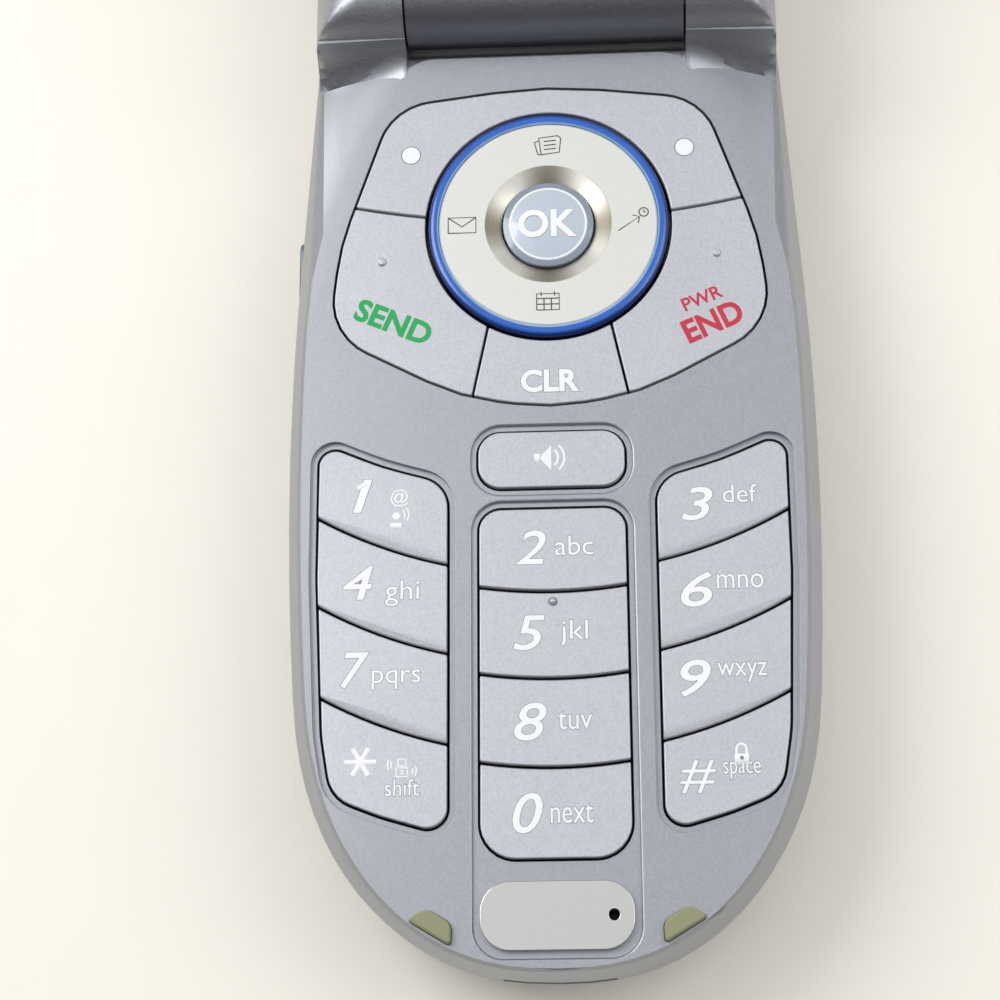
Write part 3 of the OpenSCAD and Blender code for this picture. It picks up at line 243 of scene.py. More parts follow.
class Surface:
    """A material being built: its tree, its Object coordinates and its shader."""

    def __init__(self, name: str) -> None:
        """Starts a material with one Principled shader.

        Args:
            name: The material's name.
        """
        self.material = bpy.data.materials.new(name)
        self.material.use_nodes = True
        self.tree = self.material.node_tree
        self.shader = self.tree.nodes["Principled BSDF"]
        self.place = self.add("ShaderNodeTexCoord").outputs["Object"]

    def add(
        self, kind: str, inputs: dict | None = None, **settings: object
    ) -> bpy.types.Node:
        """Adds a node to this material."""
        return add_node(self.tree, kind, inputs, **settings)

    def grain(self, size: float, detail: float = 2.0) -> bpy.types.NodeSocket:
        """Noise with features of this size in millimetres, from 0 to 1."""
        noise = self.add(
            "ShaderNodeTexNoise",
            {"Vector": self.place, "Scale": per_mm(size), "Detail": detail},
        )
        return noise.outputs["Fac"]

    def flakes(self, size: float) -> bpy.types.NodeSocket:
        """A random value in each flake of this size in millimetres."""
        cells = self.add(
            "ShaderNodeTexVoronoi", {"Vector": self.place, "Scale": per_mm(size)}
        )
        split = self.add("ShaderNodeSeparateColor", {"Color": cells.outputs["Color"]})
        return split.outputs["Red"]

    def spread(
        self, value: bpy.types.NodeSocket, low: float, high: float, start: float = 0.0, end: float = 1.0
    ) -> bpy.types.NodeSocket:
        """Maps a value from start..end onto low..high."""
        return map_range(self.tree, value, low, high, start, end)

    def blend(
        self,
        share: bpy.types.NodeSocket,
        first: Shade | bpy.types.NodeSocket,
        second: Shade | bpy.types.NodeSocket,
    ) -> bpy.types.NodeSocket:
        """Mixes two colours by a share."""
        inputs = {0: share}
        for number, colour in ((6, first), (7, second)):
            inputs[number] = linear(colour) if isinstance(colour, Shade) else colour
        return self.add("ShaderNodeMix", inputs, data_type="RGBA").outputs[2]

    def scaled(
        self, colour: Shade | bpy.types.NodeSocket, value: bpy.types.NodeSocket
    ) -> bpy.types.NodeSocket:
        """Multiplies a colour by a value."""
        start = linear(colour)[:3] if isinstance(colour, Shade) else colour
        node = self.add("ShaderNodeVectorMath", {0: start}, operation="SCALE")
        self.tree.links.new(value, node.inputs["Scale"])
        return node.outputs["Vector"]

    def from_navigation(self) -> bpy.types.NodeSocket:
        """Place measured from the navigation key's middle, flattened to the keypad."""
        centred = self.add(
            "ShaderNodeVectorMath", {0: self.place, 1: (0.0, NAV_Y * MM, 0.0)}, operation="SUBTRACT"
        ).outputs["Vector"]
        return self.add(
            "ShaderNodeVectorMath", {0: centred, 1: (1.0, 1.0, 0.0)}, operation="MULTIPLY"
        ).outputs["Vector"]

    def reach(self) -> bpy.types.NodeSocket:
        """Distance from the navigation key's axis, in metres."""
        flat = self.from_navigation()
        return self.add("ShaderNodeVectorMath", {0: flat}, operation="LENGTH").outputs["Value"]

    def relief(self, height: bpy.types.NodeSocket, depth: float, strength: float = 1.0) -> None:
        """Bumps the surface by a height, with a depth in millimetres."""
        bump = self.add(
            "ShaderNodeBump",
            {"Height": height, "Distance": depth * MM, "Strength": strength},
        )
        self.tree.links.new(bump.outputs["Normal"], self.shader.inputs["Normal"])

    def set(self, **inputs: object) -> None:
        """Sets or links the shader's inputs, named with underscores."""
        for name, value in inputs.items():
            socket = self.shader.inputs[name.replace("_", " ")]
            if isinstance(value, bpy.types.NodeSocket):
                self.tree.links.new(value, socket)
            else:
                socket.default_value = value


@dataclass(frozen=True)
class FlakePaint:
    """Sprayed metallic paint on moulded polycarbonate."""

    name: str
    shade: Shade
    metal: float = 0.8
    roughness: float = 0.42
    flake_mm: float = 0.11

    def material(self) -> bpy.types.Material:
        """Builds the paint.

        Returns:
            The material.
        """
        # Aluminium flakes sparkle as fine grain, and the coat clouds slightly over large faces.
        s = Surface(self.name)
        flake = s.flakes(self.flake_mm)
        cloud = s.grain(9.0)
        bright = maths(s.tree, "MULTIPLY", s.spread(flake, 0.93, 1.08), s.spread(cloud, 0.97, 1.03))
        s.set(
            Base_Color=s.scaled(self.shade, bright),
            Metallic=self.metal,
            Roughness=s.spread(flake, self.roughness - 0.05, self.roughness + 0.07),
        )
        s.relief(flake, 0.002, 0.3)
        return s.material


@dataclass(frozen=True)
class RingAcrylic:
    """Moulded blue acrylic, with painted shade towards its outer edge and a painted highlight on its inner
    lip.
    """

    name: str = "moulded_blue_acrylic"
    inner_mm: float = 9.9
    outer_mm: float = 10.85

    def material(self) -> bpy.types.Material:
        """Builds the acrylic.

        Returns:
            The material.
        """
        # The colour darkens towards the outer edge as painted shade, and turns pale on the inner lip as a
        # painted highlight.
        s = Surface(self.name)
        reach = s.reach()
        edge = s.spread(reach, 0.0, 1.0, (self.outer_mm - 0.4) * MM, (self.outer_mm - 0.05) * MM)
        lip = s.spread(reach, 1.0, 0.0, (self.inner_mm + 0.06) * MM, (self.inner_mm + 0.16) * MM)
        body = s.blend(edge, Shade.RING, Shade.RING_PAINTED_SHADE)
        swirl = s.spread(s.grain(2.5), 0.85, 1.15)
        s.set(
            Base_Color=s.scaled(s.blend(lip, body, Shade.RING_PAINTED_HIGHLIGHT), swirl),
            Roughness=s.spread(s.grain(0.4), 0.16, 0.24),
            Coat_Weight=0.6,
            Coat_Roughness=0.08,
        )
        s.relief(s.grain(0.3), 0.003, 0.4)
        return s.material


@dataclass(frozen=True)
class WorkedMetal:
    """Metal with a machined, plated or brushed face."""

    name: str
    shade: Shade
    roughness: float = 0.3
    grain_mm: float = 0.3
    stretch: Triple = (1.0, 1.0, 1.0)
    metal: float = 1.0

    def material(self) -> bpy.types.Material:
        """Builds the metal.

        Returns:
            The material.
        """
        # Fine tool lines break the reflections, and handling dulls the metal in patches.
        s = Surface(self.name)
        drawn = s.add(
            "ShaderNodeMapping", {"Vector": s.place, "Scale": self.stretch}
        ).outputs["Vector"]
        lines = s.add(
            "ShaderNodeTexNoise",
            {"Vector": drawn, "Scale": per_mm(self.grain_mm), "Detail": 3.0},
        ).outputs["Fac"]
        dull = s.grain(6.0)
        worn = s.spread(dull, self.roughness - 0.04, self.roughness + 0.06)
        rough = maths(s.tree, "ADD", s.spread(lines, -0.05, 0.05), worn)
        s.set(
            Base_Color=s.scaled(self.shade, s.spread(lines, 0.92, 1.06)),
            Metallic=self.metal,
            Roughness=rough,
        )
        s.relief(lines, 0.003, 0.3)
        return s.material


@dataclass(frozen=True)
class SpunDish:
    """Aluminium cone, faced in a lathe, with a painted reflection in its colour."""

    name: str = "lathe_turned_aluminium"
    groove_mm: float = 0.09
    fan_count: float = 4.0

    def material(self) -> bpy.types.Material:
        """Builds the turned metal.

        Returns:
            The material.
        """
        # The colour is painted lighter and darker in a cross of fans by angle, a painted reflection of the
        # turned cone, and concentric tool lines add real grain.
        s = Surface(self.name)
        split = s.add("ShaderNodeSeparateXYZ", {0: s.from_navigation()}).outputs
        angle = maths(s.tree, "ARCTAN2", split["Y"], split["X"])
        painted_fans = maths(s.tree, "COSINE", maths(s.tree, "MULTIPLY", angle, self.fan_count))
        grooves = s.add(
            "ShaderNodeTexNoise",
            {"W": s.reach(), "Scale": per_mm(self.groove_mm), "Detail": 1.0},
            noise_dimensions="1D",
        ).outputs["Fac"]
        s.set(
            Base_Color=s.scaled(
                s.blend(s.spread(painted_fans, 0.0, 1.0, -0.6, 1.0), Shade.DISH, Shade.DISH_PAINTED_SHADE),
                s.spread(grooves, 0.85, 1.12),
            ),
            Metallic=0.7,
            Roughness=s.spread(painted_fans, 0.32, 0.45, -1.0, 1.0),
        )
        s.relief(grooves, 0.004, 0.4)
        return s.material


@dataclass(frozen=True)
class MouldedPlastic:
    """Injection-moulded plastic, rubber, film or resin with a fine surface grain."""

    name: str
    shade: Shade
    roughness: float = 0.5
    grain_mm: float = 0.25
    depth_mm: float = 0.01
    coat: float = 0.0
    vary: float = 0.06

    def material(self) -> bpy.types.Material:
        """Builds the plastic.

        Returns:
            The material.
        """
        # Spark-eroded moulds leave an even, fine grain, and dust and handling vary the sheen.
        s = Surface(self.name)
        fine = s.grain(self.grain_mm, 3.0)
        wide = s.grain(5.0)
        s.set(
            Base_Color=s.scaled(self.shade, s.spread(wide, 1 - self.vary, 1 + self.vary)),
            Roughness=s.spread(fine, self.roughness - 0.06, self.roughness + 0.06),
            Coat_Weight=self.coat,
        )
        s.relief(fine, self.depth_mm, 0.5)
        return s.material


@dataclass(frozen=True)
class ClearCap:
    """Clear domed plastic over a silver-blue painted back."""

    name: str = "clear_moulded_cap"

    def material(self) -> bpy.types.Material:
        """Builds the cap.

        Returns:
            The material.
        """
        # The dome is glossy over pale paint, and its outer rim is darkened as painted shade.
        s = Surface(self.name)
        rim = s.spread(s.reach(), 0.0, 1.0, 3.4 * MM, 3.6 * MM)
        s.set(
            Base_Color=s.scaled(
                s.blend(rim, Shade.DOME, Shade.DOME_PAINTED_SHADE), s.spread(s.grain(2.5), 0.96, 1.03)
            ),
            Metallic=0.1,
            Roughness=s.spread(s.grain(0.8), 0.22, 0.32),
            Coat_Weight=1.0,
            Coat_Roughness=0.06,
        )
        s.relief(s.grain(1.5), 0.002, 0.3)
        return s.material


@dataclass(frozen=True)
class CircuitBoard:
    """Glass-fibre board under solder mask, with its tracks as a faint relief."""

    name: str = "solder_masked_board"

    def material(self) -> bpy.types.Material:
        """Builds the board.

        Returns:
            The material.
        """
        # Copper tracks under the green lacquer show as slightly lighter, raised bands.
        s = Surface(self.name)
        tracks = s.add(
            "ShaderNodeTexVoronoi",
            {"Vector": s.place, "Scale": per_mm(1.6)},
            feature="DISTANCE_TO_EDGE",
        ).outputs["Distance"]
        band = s.spread(tracks, 1.0, 0.0, 0.05, 0.12)
        s.set(
            Base_Color=s.blend(band, Shade.BOARD, Shade.COPPER),
            Roughness=s.spread(s.grain(0.5), 0.3, 0.42),
            Coat_Weight=0.4,
        )
        s.relief(band, 0.02, 0.5)
        return s.material


class Finishes:
    """Every material of the phone, built once and found by its field name."""

    def __init__(self) -> None:
        """Builds all finishes."""
        self.housing = FlakePaint("sprayed_silver_paint", Shade.HOUSING).material()
        self.rear = FlakePaint("sprayed_dark_silver_paint", Shade.HOUSING_DARK).material()
        self.keycap = FlakePaint("sprayed_light_silver_keys", Shade.KEYCAP, 0.4, 0.38, 0.12).material()
        # The lid's paint is the housing's silver darkened as painted shade
        self.lid = FlakePaint("silver_lid_paint_with_painted_shade", Shade.LID_WITH_PAINTED_SHADE).material()
        self.ring = RingAcrylic().material()
        self.plate = WorkedMetal("satin_anodised_plate", Shade.PLATE, 0.5, 0.2, metal=0.3).material()
        self.dish = SpunDish().material()
        self.dome = ClearCap().material()
        self.chrome = WorkedMetal("polished_chrome_plate", Shade.CHROME, 0.16, 0.6).material()
        self.satin = WorkedMetal("satin_nickel_plate", Shade.SATIN, 0.5, 0.2, metal=0.3).material()
        self.steel = WorkedMetal("turned_plated_steel", Shade.STEEL, 0.32, 0.3).material()
        self.cans = WorkedMetal("rolled_tinned_steel", Shade.STEEL, 0.38, 0.4, (1.0, 8.0, 1.0)).material()
        self.black_screw = WorkedMetal("black_oxide_steel", Shade.BLACK, 0.4, 0.3, metal=0.7).material()
        self.copper = WorkedMetal("rolled_copper_foil", Shade.COPPER, 0.34, 0.3, (8.0, 1.0, 1.0)).material()
        self.khaki = MouldedPlastic("moulded_khaki_rubber", Shade.KHAKI, 0.6, 0.3, 0.01).material()
        self.rubber = MouldedPlastic("moulded_black_rubber", Shade.BLACK, 0.65, 0.3, 0.012).material()
        self.dark = MouldedPlastic("moulded_black_nylon", Shade.BLACK, 0.5, 0.25, 0.012).material()
        self.film = MouldedPlastic("polyester_dome_film", Shade.FILM, 0.35, 0.8, 0.004).material()
        self.silicone = MouldedPlastic("moulded_silicone", Shade.SILICONE, 0.5, 0.6, 0.006).material()
        self.acetal = MouldedPlastic("moulded_acetal", Shade.ACETAL, 0.42, 0.4, 0.005).material()
        self.window = MouldedPlastic("back_printed_acrylic", Shade.WINDOW, 0.1, 4.0, 0.002, 1.0).material()
        self.board = CircuitBoard().material()
        white = MouldedPlastic("printed_white_ink", Shade.INK_WHITE, 0.45, 0.3, 0.003, vary=0.02)
        self.white = white.material()
        self.grey = MouldedPlastic("printed_grey_ink", Shade.INK_GREY, 0.5, 0.3, 0.003).material()
        self.green = MouldedPlastic("printed_green_ink", Shade.INK_GREEN, 0.45, 0.3, 0.003).material()
        self.red = MouldedPlastic("printed_red_ink", Shade.INK_RED, 0.45, 0.3, 0.003).material()
        self.etched = MouldedPlastic("etched_dark_line", Shade.ENGRAVING, 0.5, 0.2, 0.005).material()
        self.floor = MouldedPlastic("pale_matte_floor", Shade.FLOOR, 0.8, 3.0, 0.05, vary=0.015).material()


class Workshop:
    """Turns CAD nodes and small bmeshes into finished, riding pieces."""

    # Pieces with more faces than this get a modifier that evens out their shading
    weighted_from = 40

    def __init__(self, frame: dict) -> None:
        """Keeps the loaded frame.
        """
        self.nodes = frame["nodes"]
        self.body_of = {
            node: body
            for body, members in frame["record"]["behaviour"]["bodies"].items()
            for node in members
        }
        self.slot_of = {
            part["node"]: part["material_slot"] for part in frame["record"]["subparts"]
        }

    def place(
        self,
        name: str,
        mesh: bpy.types.Mesh,
        finish: bpy.types.Material,
        body: str,
        smooth: float = 32.0,
    ) -> bpy.types.Object:
        """Puts a mesh into the scene as a piece that rides on a body.

        Args:
            name: The piece's name.
            mesh: Its mesh, in place.
            finish: Its material.
            body: The CAD body that it moves with.
            smooth: Edges sharper than this many degrees stay sharp.

        Returns:
            The piece.
        """
        mesh.materials.clear()
        mesh.materials.append(finish)
        mesh.shade_smooth()
        mesh.set_sharp_from_angle(angle=math.radians(smooth))
        piece = put(name, mesh)
        if len(mesh.polygons) > self.weighted_from:
            even = piece.modifiers.new("even_shading", "WEIGHTED_NORMAL")
            even.keep_sharp = True
        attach(piece, body)
        LOG.info("%s: %d faces on %s", name, len(mesh.polygons), body)
        return piece

    def from_bmesh(
        self, name: str, work: bmesh.types.BMesh, finish: bpy.types.Material, body: str, smooth: float = 32.0
    ) -> bpy.types.Object:
        """Finishes a bmesh as a piece.

        Args:
            name: The piece's name.
            work: The bmesh in millimetres, which is freed.
            finish: Its material.
            body: The CAD body that it moves with.
            smooth: Edges sharper than this many degrees stay sharp.

        Returns:
            The piece.
        """
        bmesh.ops.scale(work, vec=(MM, MM, MM), verts=work.verts)
        return self.place(name, as_mesh(name, work), finish, body, smooth)

    def copy_of(self, node: str) -> bmesh.types.BMesh:
        """A clean copy of a CAD node's mesh.

        Args:
            node: The node's name.

        Returns:
            A bmesh in millimetres, with doubles merged and flat faces joined.
        """
        work = bmesh.new()
        work.from_mesh(self.nodes[node].data)
        bmesh.ops.scale(work, vec=(1 / MM, 1 / MM, 1 / MM), verts=work.verts)
        bmesh.ops.remove_doubles(work, verts=work.verts, dist=0.0015)
        bmesh.ops.dissolve_limit(
            work, angle_limit=math.radians(0.6), verts=work.verts, edges=work.edges
        )
        return work

    def rounded_node(
        self, node: str, finish: bpy.types.Material, width: float, segments: int = 2
    ) -> bpy.types.Object:
        """A CAD node with its sharp edges rounded, standing for the node.

        Args:
            node: The CAD node.
            finish: The piece's material.
            width: The rounding's width in millimetres.
            segments: How many steps each rounding has.

        Returns:
            The piece.
        """
        work = self.copy_of(node)
        self.round_edges(work, width, segments)
        return self.stand_for(node, work, finish)

    def stand_for(
        self, node: str, work: bmesh.types.BMesh, finish: bpy.types.Material
    ) -> bpy.types.Object:
        """Makes a shaped copy of a CAD node the piece that stands for it.

        Args:
            node: The CAD node.
            work: Its shaped copy, which is freed.
            finish: The piece's material.

        Returns:
            The piece.
        """
        piece = self.from_bmesh(node + "_skin", work, finish, self.body_of[node])
        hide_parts(node)
        return piece

    @staticmethod
    def second_finish(piece: bpy.types.Object, finish: bpy.types.Material, chosen: FaceTest) -> None:
        """Gives some faces of a piece another finish.

        Args:
            piece: The piece.
            finish: The other finish.
            chosen: A test of a face that says whether it gets the finish.
        """
        piece.data.materials.append(finish)
        for face in piece.data.polygons:
            if chosen(face):
                face.material_index = 1

    @staticmethod
    def cut_flat(work: bmesh.types.BMesh, point: Vector, normal: Vector, clear: bool) -> None:
        """Cuts a bmesh along a plane.

        Args:
            work: The bmesh in millimetres.
            point: A point of the plane.
            normal: The plane's normal.
            clear: Whether what lies on the normal's side is cut off and the cut closed.
        """
        geom = work.verts[:] + work.edges[:] + work.faces[:]
        made = bmesh.ops.bisect_plane(
            work, geom=geom, plane_co=point, plane_no=normal, clear_outer=clear, dist=0.0005
        )
        if clear:
            rim = [e for e in made["geom_cut"] if isinstance(e, bmesh.types.BMEdge)]
            bmesh.ops.contextual_create(work, geom=rim)

    @staticmethod
    def round_edges(
        work: bmesh.types.BMesh,
        width: float,
        segments: int = 3,
        sharper: float = 30.0,
        keep: EdgeTest | None = None,
    ) -> None:
        """Rounds the sharp edges of a bmesh.

        Args:
            work: The bmesh in millimetres.
            width: The rounding's width.
            segments: How many steps each rounding has.
            sharper: Only edges that turn more than this many degrees are rounded.
            keep: A test of an edge that says whether it is rounded, or None for all.
        """
        limit = math.radians(sharper)
        sharp = [
            e
            for e in work.edges
            if len(e.link_faces) == 2
            and e.calc_face_angle(0.0) > limit
            and (keep is None or keep(e))
        ]
        bmesh.ops.bevel(
            work,
            geom=sharp,
            offset=width,
            offset_type="OFFSET",
            segments=segments,
            profile=0.5,
            affect="EDGES",
            clamp_overlap=True,
            material=-1,
        )

    def key_cap(
        self, node: str, work: bmesh.types.BMesh, width: float, finishes: Finishes
    ) -> bpy.types.Object:
        """Rounds a key's shaped copy and gives its foot the black finish as painted shade in the gaps round
        the key.

        Args:
            node: The key's node.
            work: Its shaped copy, which is freed.
            width: The rounding's width in millimetres.
            finishes: The finishes.

        Returns:
            The cap.
        """
        self.round_edges(work, width, 3, 35)
        self.cut_flat(work, Vector((0, 0, KEY_GAP_SHADE_Z)), Vector((0, 0, 1)), False)
        cap = self.stand_for(node, work, finishes.keycap)
        # Faces below the keypad face take the black finish as painted shade in the gaps
        self.second_finish(cap, finishes.dark, lambda face: face.center.z < KEY_GAP_SHADE_Z * MM)
        return cap

    def dress(self, finish: bpy.types.Material, *nodes: str) -> None:
        """Gives CAD nodes that keep their own shape a finish.

        Args:
            finish: The material.
            *nodes: The nodes' names.
        """
        for name in nodes:
            mesh = self.nodes[name].data
            mesh.materials.clear()
            mesh.materials.append(finish)
            LOG.info("%s keeps its CAD shape", name)

    def turned(
        self,
        name: str,
        profile: list[Point],
        centre: Vector,
        finish: bpy.types.Material,
        body: str,
        steps: int = 128,
    ) -> bpy.types.Object:
        """A turned piece from a closed profile of radius and height.

        Args:
            name: The piece's name.
            profile: Points of radius and height in millimetres, in order.
            centre: The axis's foot in millimetres.
            finish: Its material.
            body: The CAD body that it moves with.
            steps: Steps round the circle.

        Returns:
            The piece.
        """
        work = bmesh.new()
        verts = [work.verts.new((centre.x + r, centre.y, z)) for r, z in profile]
        edges = [work.edges.new((a, b)) for a, b in zip(verts, verts[1:] + verts[:1])]
        bmesh.ops.spin(
            work,
            geom=verts + edges,
            cent=centre,
            axis=(0, 0, 1),
            angle=2 * math.pi,
            steps=steps,
            use_merge=True,
            use_duplicate=False,
        )
        bmesh.ops.remove_doubles(work, verts=work.verts, dist=0.0005)
        bmesh.ops.recalc_face_normals(work, faces=work.faces)
        return self.from_bmesh(name, work, finish, body)


@dataclass
class Print:
    """Ink on a surface: words and line drawings laid on a piece."""

    shop: Workshop
    finishes: Finishes
    lift: float = 0.012

    def lay(self, mesh: bpy.types.Mesh, target: bpy.types.Object, lift: float) -> None:
        """Drops a flat mesh in metres onto a piece from above.

        Args:
            mesh: The flat mesh, moved in place.
            target: The piece that carries it.
            lift: Height over the piece, in millimetres.
        """
        tree = BVHTree.FromPolygons(
            [v.co for v in target.data.vertices],
            [p.vertices for p in target.data.polygons],
        )
        for vert in mesh.vertices:
            hit = tree.ray_cast(Vector((vert.co.x, vert.co.y, 0.1)), Vector((0, 0, -1)))[0]
            if hit is not None:
                vert.co.z += hit.z + lift * MM

    def words(
        self,
        name: str,
        text: str,
        box: Box,
        target: bpy.types.Object,
        ink: bpy.types.Material,
        slant: float = 0.0,
        weight: float = 0.0,
        turn: float = 0.0,
        rim: bool = True,
        lift: float | None = None,
    ) -> None:
        """Prints a word that fills a box, with a thin grey rim.

        Args:
            name: The piece's name.
            text: The word.
            box: Left, low, right and high edges in millimetres, before turning.
            target: The piece that carries it.
            ink: The letters' material.
            slant: Shear of the letters.
            weight: Extra stroke width in millimetres.
            turn: Turn about the box's middle, in degrees.
            rim: Whether the letters get a grey rim below them.
            lift: Height over the piece in millimetres, or None for the usual one.
        """
        lift = lift or self.lift
        layers = [(ink, weight, lift, "")]
        if rim:
            layers.append((self.finishes.grey, weight + 0.05, lift * 0.4, "_rim"))
        for finish, extra, up, suffix in layers:
            curve = bpy.data.curves.new(name + suffix, "FONT")
            curve.body = text
            curve.shear = slant
            curve.size = 1.0
            curve.resolution_u = 4
            plain = mesh_of(name + suffix, curve)
            low = [min(v.co[i] for v in plain.vertices) for i in (0, 1)]
            high = [max(v.co[i] for v in plain.vertices) for i in (0, 1)]
            size = [(box[2] - box[0]) / (high[0] - low[0]), (box[3] - box[1]) / (high[1] - low[1])]
            curve.offset = extra / (sum(size) / 2)
            bpy.data.meshes.remove(plain)
            mesh = mesh_of(name + suffix, curve)
            middle = Vector(((box[0] + box[2]) / 2, (box[1] + box[3]) / 2, 0.0))
            fit = (
                Matrix.Scale(MM, 4)
                @ Matrix.Translation(middle)
                @ Matrix.Rotation(math.radians(turn), 4, "Z")
                @ Matrix.Diagonal((size[0], size[1], 1.0, 1.0))
                @ Matrix.Translation((-(low[0] + high[0]) / 2, -(low[1] + high[1]) / 2, 0.0))
            )
            mesh.transform(fit)
            self.lay(mesh, target, up)
            self.shop.place(name + suffix, mesh, finish, target["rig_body"])

    def lines(
        self,
        name: str,
        strokes: list[list[Point]],
        width: float,
        target: bpy.types.Object,
        ink: bpy.types.Material,
    ) -> None:
        """Draws thin lines on a piece.

        Args:
            name: The piece's name.
            strokes: Lines, each a list of points in millimetres.
            width: The lines' width in millimetres.
            target: The piece that carries them.
            ink: Their material.
        """
        curve = bpy.data.curves.new(name, "CURVE")
        curve.dimensions = "3D"
        curve.bevel_depth = width / 2 * MM
        curve.bevel_resolution = 2
        curve.use_fill_caps = True
        for stroke in strokes:
            spline = curve.splines.new("POLY")
            spline.points.add(len(stroke) - 1)
            for point, (x, y) in zip(spline.points, stroke):
                point.co = (x * MM, y * MM, 0.0, 1.0)
        mesh = mesh_of(name, curve)
        mesh.transform(Matrix.Diagonal((1.0, 1.0, 0.3, 1.0)))
        self.lay(mesh, target, 0.0)
        self.shop.place(name, mesh, ink, target["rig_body"])

    def blot(
        self,
        name: str,
        centre: Point,
        radius: float,
        target: bpy.types.Object,
        ink: bpy.types.Material,
        lift: float = 0.012,
    ) -> None:
        """Prints a round dot.

        Args:
            name: The piece's name.
            centre: Its middle in millimetres.
            radius: Its radius in millimetres.
            target: The piece that carries it.
            ink: Its material.
            lift: Height over the piece, in millimetres.
        """
        work = bmesh.new()
        bmesh.ops.create_circle(work, cap_ends=True, segments=32, radius=radius * MM)
        bmesh.ops.translate(work, verts=work.verts, vec=(centre[0] * MM, centre[1] * MM, 0.0))
        mesh = as_mesh(name, work)
        self.lay(mesh, target, lift)
        self.shop.place(name, mesh, ink, target["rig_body"])


def arc(centre: Point, radius: float, start: float, end: float, steps: int = 8) -> list[Point]:
    """Points along an arc, with angles in degrees from +X."""
    turns = [math.radians(start + (end - start) * i / steps) for i in range(steps + 1)]
    return [(centre[0] + radius * math.cos(a), centre[1] + radius * math.sin(a)) for a in turns]


@dataclass
class Assembly:
    """A group of pieces, with the workshop that makes them and their finishes."""

    shop: Workshop
    finishes: Finishes

    def round_all(self, *rows: tuple) -> None:
        """Rounds CAD nodes, each row a node, its finish, a width and, if not two, the steps."""
        for row in rows:
            self.shop.rounded_node(*row)


@dataclass
class Housing(Assembly):
    """The keypad half's shells with what is fixed in them."""

    side_well_round: float = 0.32
    mid_well_round: float = 0.24
    foot_round: float = 0.1
    fine_round: float = 0.07

    def build(self) -> None:
        """Dresses the shells, bumpers, nameplate, battery and side pieces."""
        shop, use = self.shop, self.finishes
        self.shape_front()
        self.round_all(
            ("rear_housing", use.rear, 0.15),
            ("battery_pack", use.rear, 0.2, 3),
            ("battery_latch", use.rubber, 0.12),
            ("volume_key", use.rear, 0.3, 3),
            ("port_cover", use.rubber, 0.12),
            ("bumpers", use.khaki, 0.25, 4),
        )
        plate = shop.rounded_node("nameplate", use.chrome, 0.3, 5)
        shop.second_finish(plate, use.satin, lambda face: face.normal.z > 0.999)
        shop.rounded_node("housing_screws", use.black_screw, 0.1)

    def shape_front(self) -> None:
        """Rounds the front housing's wells and edges."""
        shop = self.shop
        work = shop.copy_of("front_housing")
        shop.round_edges(work, self.foot_round, 2, 60, self.at_well_foot)
        shop.round_edges(work, self.mid_well_round, 3, 60, self.at_mid_well)
        shop.round_edges(work, self.side_well_round, 3, 60, self.at_side_well)
        shop.round_edges(work, self.fine_round, 2, 40)
        shop.stand_for("front_housing", work, self.finishes.housing)

    @staticmethod
    def at_well(edge: bmesh.types.BMEdge) -> bool:
        """Whether an edge lies in the keypad face above an upright wall and below the cluster."""
        level = all(abs(v.co.z - KEYPAD_Z) < 0.02 for v in edge.verts)
        upright = any(abs(f.normal.z) < 0.1 for f in edge.link_faces)
        return level and upright and edge.verts[0].co.y < 4.0

    def at_side_well(self, edge: bmesh.types.BMEdge) -> bool:
        """Whether an edge is the brim of a side column's well."""
        place = edge.verts[0].co
        return self.at_well(edge) and abs(place.x) > 7.3 and place.y > -37.0

    def at_mid_well(self, edge: bmesh.types.BMEdge) -> bool:
        """Whether an edge is the brim of the middle wells."""
        return self.at_well(edge) and abs(edge.verts[0].co.x) < 7.3

    @staticmethod
    def at_well_foot(edge: bmesh.types.BMEdge) -> bool:
        """Whether an edge is the hollow one at the foot of a well's wall."""
        level = all(KEYPAD_Z - 0.5 < v.co.z < KEYPAD_Z - 0.3 for v in edge.verts)
        return level and not edge.is_convex


